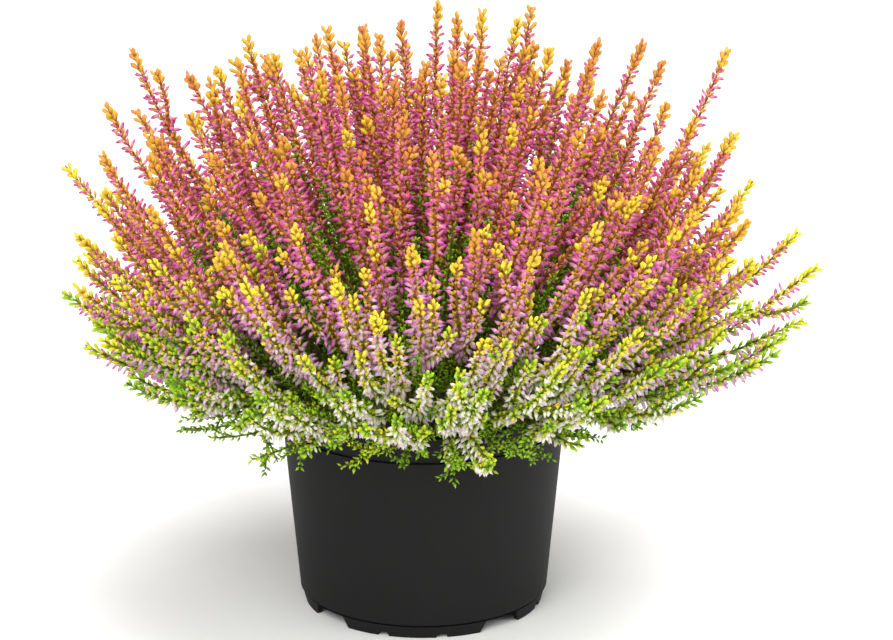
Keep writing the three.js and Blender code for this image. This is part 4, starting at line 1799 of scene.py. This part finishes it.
@dataclass
class NurseryPot:
    """A 12 cm nursery pot with a banded rim, a foot ring in four parts and drain holes."""

    sides: int = 128
    height: float = 89
    rim_radius: float = 60
    rim_band: float = 9.5
    band_taper: float = 0.8
    groove: float = 0.9
    groove_height: float = 1.8
    # How far the slants into and out of the groove, and up to the band, reach
    groove_in: float = 0.4
    groove_out: float = 0.2
    band_rise: float = 0.6
    foot_line: float = 0.7
    foot_line_height: float = 1.0
    foot_line_in: float = 0.2
    foot_line_out: float = 0.1
    wall: float = 1.4
    body_top_radius: float = 58
    body_foot_radius: float = 51.2
    foot_height: float = 6.1
    foot_step: float = 0.6
    foot_top_radius: float = 50.4
    foot_radius: float = 49.2
    foot_width: float = 2.4
    floor_underside: float = 5.6
    floor_top: float = 7.2
    feet: int = 4
    foot_turn: float = -5
    foot_gap_degrees: float = 22
    foot_gap_height: float = 5
    foot_gap_below: float = -2
    foot_gap_reach: float = 5
    # The gap's width at its top and bottom against its mean, for the slanted ends of the feet
    foot_gap_slant: tuple[float, float] = (0.86, 1.14)
    bore_sides: int = 24
    notch_depth: float = 10
    notch_radius: float = 2.3
    notch_offsets: tuple[float, float] = (-14, 14)
    drain_holes: int = 8
    drain_radius: float = 3.2
    drain_circle: float = 33
    centre_drain_radius: float = 5
    edge_round: float = 0.35
    edge_segments: int = 2
    # The least angles of an edge that is rounded, and of one that stays sharp in shading
    rounded_angle: float = 28
    sharp_angle: float = 32

    def body_radius(self, height: float) -> float:
        """The outer radius of the body at a height."""
        share = (height - self.foot_height) / (self.height - self.rim_band - self.foot_height)
        return lerp(self.body_foot_radius, self.body_top_radius, share)

    def profile(self) -> list[tuple[float, float]]:
        """The closed profile of the wall, floor, foot ring and rim."""
        band_foot = self.height - self.rim_band
        return [
            (self.foot_radius - self.foot_width, 0),
            (self.foot_radius, 0),
            (self.foot_top_radius, self.foot_height - self.foot_line_height),
            (
                self.foot_top_radius - self.foot_line,
                self.foot_height - self.foot_line_height + self.foot_line_in,
            ),
            (self.foot_top_radius - self.foot_line, self.foot_height),
            (self.body_foot_radius, self.foot_height + self.foot_line_out),
            (self.body_foot_radius, self.foot_height + self.foot_step),
            (self.body_radius(band_foot - self.groove_height), band_foot - self.groove_height),
            (self.body_top_radius - self.groove, band_foot - self.groove_height + self.groove_in),
            (self.body_top_radius - self.groove, band_foot + self.groove_out),
            (self.rim_radius - self.band_taper, band_foot + self.band_rise),
            (self.rim_radius, self.height),
            (self.rim_radius - self.wall, self.height),
            (self.body_top_radius - self.wall, band_foot),
            (self.body_radius(self.floor_top) - self.wall, self.floor_top),
            (self.centre_drain_radius, self.floor_top),
            (self.centre_drain_radius, self.floor_underside),
            (self.foot_top_radius - self.foot_width, self.floor_underside),
        ]

    def foot_gap(self, azimuth: float) -> bpy.types.Object:
        """The block with slanted ends that parts two feet, at an azimuth in radians."""
        half = self.foot_radius * math.tan(math.radians(self.foot_gap_degrees / 2)) * MM
        middle = (self.foot_radius - self.foot_width / 2) * MM
        top, bottom = self.foot_gap_slant
        bpy.ops.mesh.primitive_cube_add(size=2, location=(0, 0, 0))
        block = bpy.context.object
        for corner in block.data.vertices:
            high = corner.co.z > 0
            corner.co.x *= half * (top if high else bottom)
            corner.co.y = -middle + self.foot_gap_reach * MM * corner.co.y
            corner.co.z = (self.foot_gap_height if high else self.foot_gap_below) * MM
        block.rotation_euler.z = azimuth
        place_in_mesh(block)
        return block

    def round_bore(self, radius: float, depth: float, place: tuple, turn: tuple) -> bpy.types.Object:
        """A cylinder that cuts a round hole.

        Args:
            radius: Its radius.
            depth: Its length.
            place: Its middle.
            turn: Its turn about each axis, in radians.

        Returns:
            The cylinder.
        """
        centre = tuple(value * MM for value in place)
        bpy.ops.mesh.primitive_cylinder_add(
            vertices=self.bore_sides, radius=radius * MM, depth=depth * MM, location=centre
        )
        bore = bpy.context.object
        bore.rotation_euler = turn
        place_in_mesh(bore)
        return bore

    def cutters(self) -> list[bpy.types.Object]:
        """The blocks and bores that are taken out of the foot ring and the floor."""
        cutters = []
        for foot in range(self.feet):
            middle = math.radians(self.foot_turn) + foot * math.tau / self.feet
            cutters.append(self.foot_gap(middle + math.pi / self.feet))
            for offset in self.notch_offsets:
                turn = middle + math.radians(offset)
                place = (self.foot_radius * math.sin(turn), -self.foot_radius * math.cos(turn), 0)
                level = (math.pi / 2, 0, turn)
                cutters.append(self.round_bore(self.notch_radius, self.notch_depth, place, level))
        for hole in range(self.drain_holes):
            turn = hole * math.tau / self.drain_holes
            place = (
                self.drain_circle * math.sin(turn),
                -self.drain_circle * math.cos(turn),
                self.floor_top,
            )
            cutters.append(self.round_bore(self.drain_radius, 2 * self.floor_top, place, (0, 0, 0)))
        return cutters

    def build(self) -> None:
        """Turns the pot, cuts its feet and drains, and rounds its edges."""
        pot = turned("nursery_pot", self.profile(), self.sides)
        cutters = self.cutters()
        deselect()
        for cutter in cutters:
            cutter.select_set(True)
        bpy.context.view_layer.objects.active = cutters[0]
        bpy.ops.object.join()
        tools = bpy.context.object
        add_modifier(pot, "BOOLEAN", operation="DIFFERENCE", object=tools, solver="EXACT")
        bpy.data.objects.remove(tools)
        add_modifier(
            pot,
            "BEVEL",
            width=self.edge_round * MM,
            segments=self.edge_segments,
            limit_method="ANGLE",
            angle_limit=math.radians(self.rounded_angle),
        )
        bpy.ops.object.shade_smooth_by_angle(angle=math.radians(self.sharp_angle))
        dress(pot, "pot_plastic", [MouldedPolypropylene().material()], "pot")


@dataclass
class RootBall:
    """The root ball of peat: a plug that fills the pot, with an uneven top of crumbs."""

    pot: NurseryPot
    top: float = 77
    clearance: float = 0.35
    sides: int = 96
    rings: int = 30
    crumbs: int = 400
    crumb_sizes: tuple[float, float] = (0.6, 1.7)
    crumb_margin: float = 2
    crumb_heights: tuple[float, float] = (-0.6, 0.5)
    seed: int = 12
    # How far the middle of the rough top lies under its height, and its lowest and highest places
    sunk: float = 0.6
    rough_range: tuple[float, float] = (-2, 1.5)
    # Over which width the roughness fades out towards the pot
    fade: float = 3
    # Size and height of the waves that make the top rough
    waves: tuple[tuple[float, float], ...] = ((23.0, 1.0), (7.0, 0.7), (3.1, 0.45))

    def build(self) -> None:
        """Turns the plug, roughens its top and scatters crumbs over it."""
        floor = self.pot.floor_top + self.clearance
        low = self.pot.body_radius(floor) - self.pot.wall - self.clearance
        high = self.pot.body_radius(self.top) - self.pot.wall - self.clearance
        inner = [(high * (1 - (k + 1) / self.rings), self.top) for k in range(self.rings - 1)]
        profile = [(1.0, floor), (low, floor), (high, self.top - self.sunk), *inner]
        plug = turned("peat_root_ball", profile, self.sides)
        rng = np.random.default_rng(self.seed)
        places = np.array([vertex.co for vertex in plug.data.vertices]) / MM
        on_top = places[:, 2] > self.top - 1
        radius = np.hypot(places[:, 0], places[:, 1])
        rough = np.zeros(len(places))
        for size, height in self.waves:
            shift = rng.uniform(0, math.tau, 4)
            waves = np.sin(places[:, 0] / size * 2 + shift[0]) * np.sin(places[:, 1] / size * 2 + shift[1])
            waves += np.sin((places[:, 0] + places[:, 1]) / size + shift[2]) * 0.5
            rough += height * waves
        lowered = np.where(on_top, np.clip(rough, *self.rough_range) - self.sunk, 0)
        places[:, 2] += lowered * np.clip((high - radius) / self.fade, 0, 1)
        plug.data.vertices.foreach_set("co", (places * MM).astype(np.float32).ravel())
        place = self.crumb_places(rng, high - self.crumb_margin)
        crumb = SmallShape.spindle(Tissue.BUD, SHAPE_SIDES, CRUMB_RINGS)
        size = rng.uniform(*self.crumb_sizes, len(place))
        axes = rng.normal(0, 1, (len(place), 3))
        patch = crumb.copies(place, axes, size, size * 2, np.zeros(len(place)))
        crumbs = piece_of("peat_crumbs", [patch])
        material = Peat().material()
        dress(plug, "peat", [material], "soil")
        dress(crumbs, "peat", [material])

    def crumb_places(self, rng: np.random.Generator, radius: float) -> np.ndarray:
        """Places of crumbs spread over the top.

        Args:
            rng: The source of chance.
            radius: How far from the axis they lie at most.

        Returns:
            A place for each crumb.
        """
        far = radius * np.sqrt(rng.uniform(0, 1, self.crumbs))
        turn = rng.uniform(0, math.tau, self.crumbs)
        height = self.top - self.sunk + rng.uniform(*self.crumb_heights, self.crumbs)
        return np.stack([far * np.cos(turn), far * np.sin(turn), height], axis=1)


@dataclass
class Studio:
    """A plain pale floor, soft light from above and in front, and a camera that looks slightly down.

    Fields:
        distance: From the camera to the middle of the rim, in metres.
        elevation: How far above the level the camera stands, seen from the rim.
        pitch: How far below the level it looks.
        aside: How far to the right it stands, in metres.
        sensor: The width of its sensor in millimetres.
        lens: Its focal length in millimetres.
        lights: Name, place and width in metres and power in watts of each light.
    """

    distance: float = 1.5
    elevation: float = 19.0
    pitch: float = 17.9
    aside: float = 0.0095
    sensor: float = 36.0
    lens: float = 147.6
    rim_height: float = 0.089
    lights: tuple[tuple[str, tuple[float, float, float], float, float], ...] = (
        ("front_light", (-0.5, -1.5, 1.3), 1.2, 34),
        ("top_light", (0.3, 0.1, 1.7), 1.4, 34),
        ("side_light", (1.5, -0.5, 0.8), 1.2, 12),
    )
    lit_height: float = 0.14
    floor_colour: str = "#f3f2f0"
    floor_size: float = 12
    floor_roughness: float = 0.9
    air_colour: str = "#f4f6fa"
    air_strength: float = 0.5

    def floor(self) -> None:
        """Lays the floor."""
        deselect()
        bpy.ops.mesh.primitive_plane_add(size=self.floor_size)
        floor = bpy.context.object
        floor.name = "studio_floor"
        material, shader = new_material("studio_paper")
        shader.inputs["Base Color"].default_value = linear(self.floor_colour)
        shader.inputs["Roughness"].default_value = self.floor_roughness
        floor.data.materials.append(material)

    def light(self, name: str, place: tuple[float, float, float], size: float, power: float) -> None:
        """Hangs an area light that faces the plant.

        Args:
            name: The light's name.
            place: Where it hangs, in metres.
            size: How wide it is, in metres.
            power: Its power in watts.
        """
        lamp = bpy.data.lights.new(name, "AREA")
        lamp.size = size
        lamp.energy = power
        holder = bpy.data.objects.new(name, lamp)
        bpy.context.scene.collection.objects.link(holder)
        away = np.array(place) - np.array([0, 0, self.lit_height])
        holder.location = place
        holder.rotation_euler = (
            math.acos(away[2] / np.linalg.norm(away)),
            0,
            math.atan2(away[1], away[0]) + math.pi / 2,
        )

    def camera(self) -> None:
        """Sets up the camera."""
        data = bpy.data.cameras.new("picture_camera")
        data.sensor_width = self.sensor
        data.lens = self.lens
        camera = bpy.data.objects.new("picture_camera", data)
        bpy.context.scene.collection.objects.link(camera)
        rise = math.radians(self.elevation)
        camera.location = (
            self.aside,
            -self.distance * math.cos(rise),
            self.rim_height + self.distance * math.sin(rise),
        )
        camera.rotation_euler = (math.radians(90 - self.pitch), 0, 0)
        bpy.context.scene.camera = camera

    def build(self) -> None:
        """Sets up the floor, the lights, the air and the camera."""
        self.floor()
        for light in self.lights:
            self.light(*light)
        world = bpy.data.worlds.new("studio_air")
        world.use_nodes = True
        background = world.node_tree.nodes["Background"]
        background.inputs["Color"].default_value = linear(self.air_colour)
        background.inputs["Strength"].default_value = self.air_strength
        bpy.context.scene.world = world
        bpy.context.scene.view_settings.view_transform = "Standard"
        self.camera()


def main() -> None:
    """Builds the studio, the pot, the root ball and the plant, in that order."""
    logging.basicConfig(level=logging.INFO, format="%(message)s")
    Studio().build()
    pot = NurseryPot()
    pot.build()
    RootBall(pot).build()
    plan = CrownPlan()
    growth = Growth(
        plan,
        bud=SmallShape.spindle(Tissue.BUD, SHAPE_SIDES, BUD_RINGS),
        plain_bud=SmallShape.spindle(Tissue.BUD, SHAPE_SIDES, PLAIN_BUD_RINGS),
        tip_leaf=SmallShape.spindle(Tissue.LEAF, SHAPE_SIDES, TIP_LEAF_RINGS),
        stem_leaf=SmallShape.spindle(Tissue.LEAF, SHAPE_SIDES, STEM_LEAF_RINGS),
        scale=SmallShape.spindle(Tissue.LEAF, SCALE_SIDES, SCALE_RINGS),
    )
    tissues = [finish.material() for finish in TISSUE_FINISHES]
    Crown(plan, growth).build(tissues)
    RimSprigs(plan, growth).build(tissues)


if __name__ == "__main__":
    main()
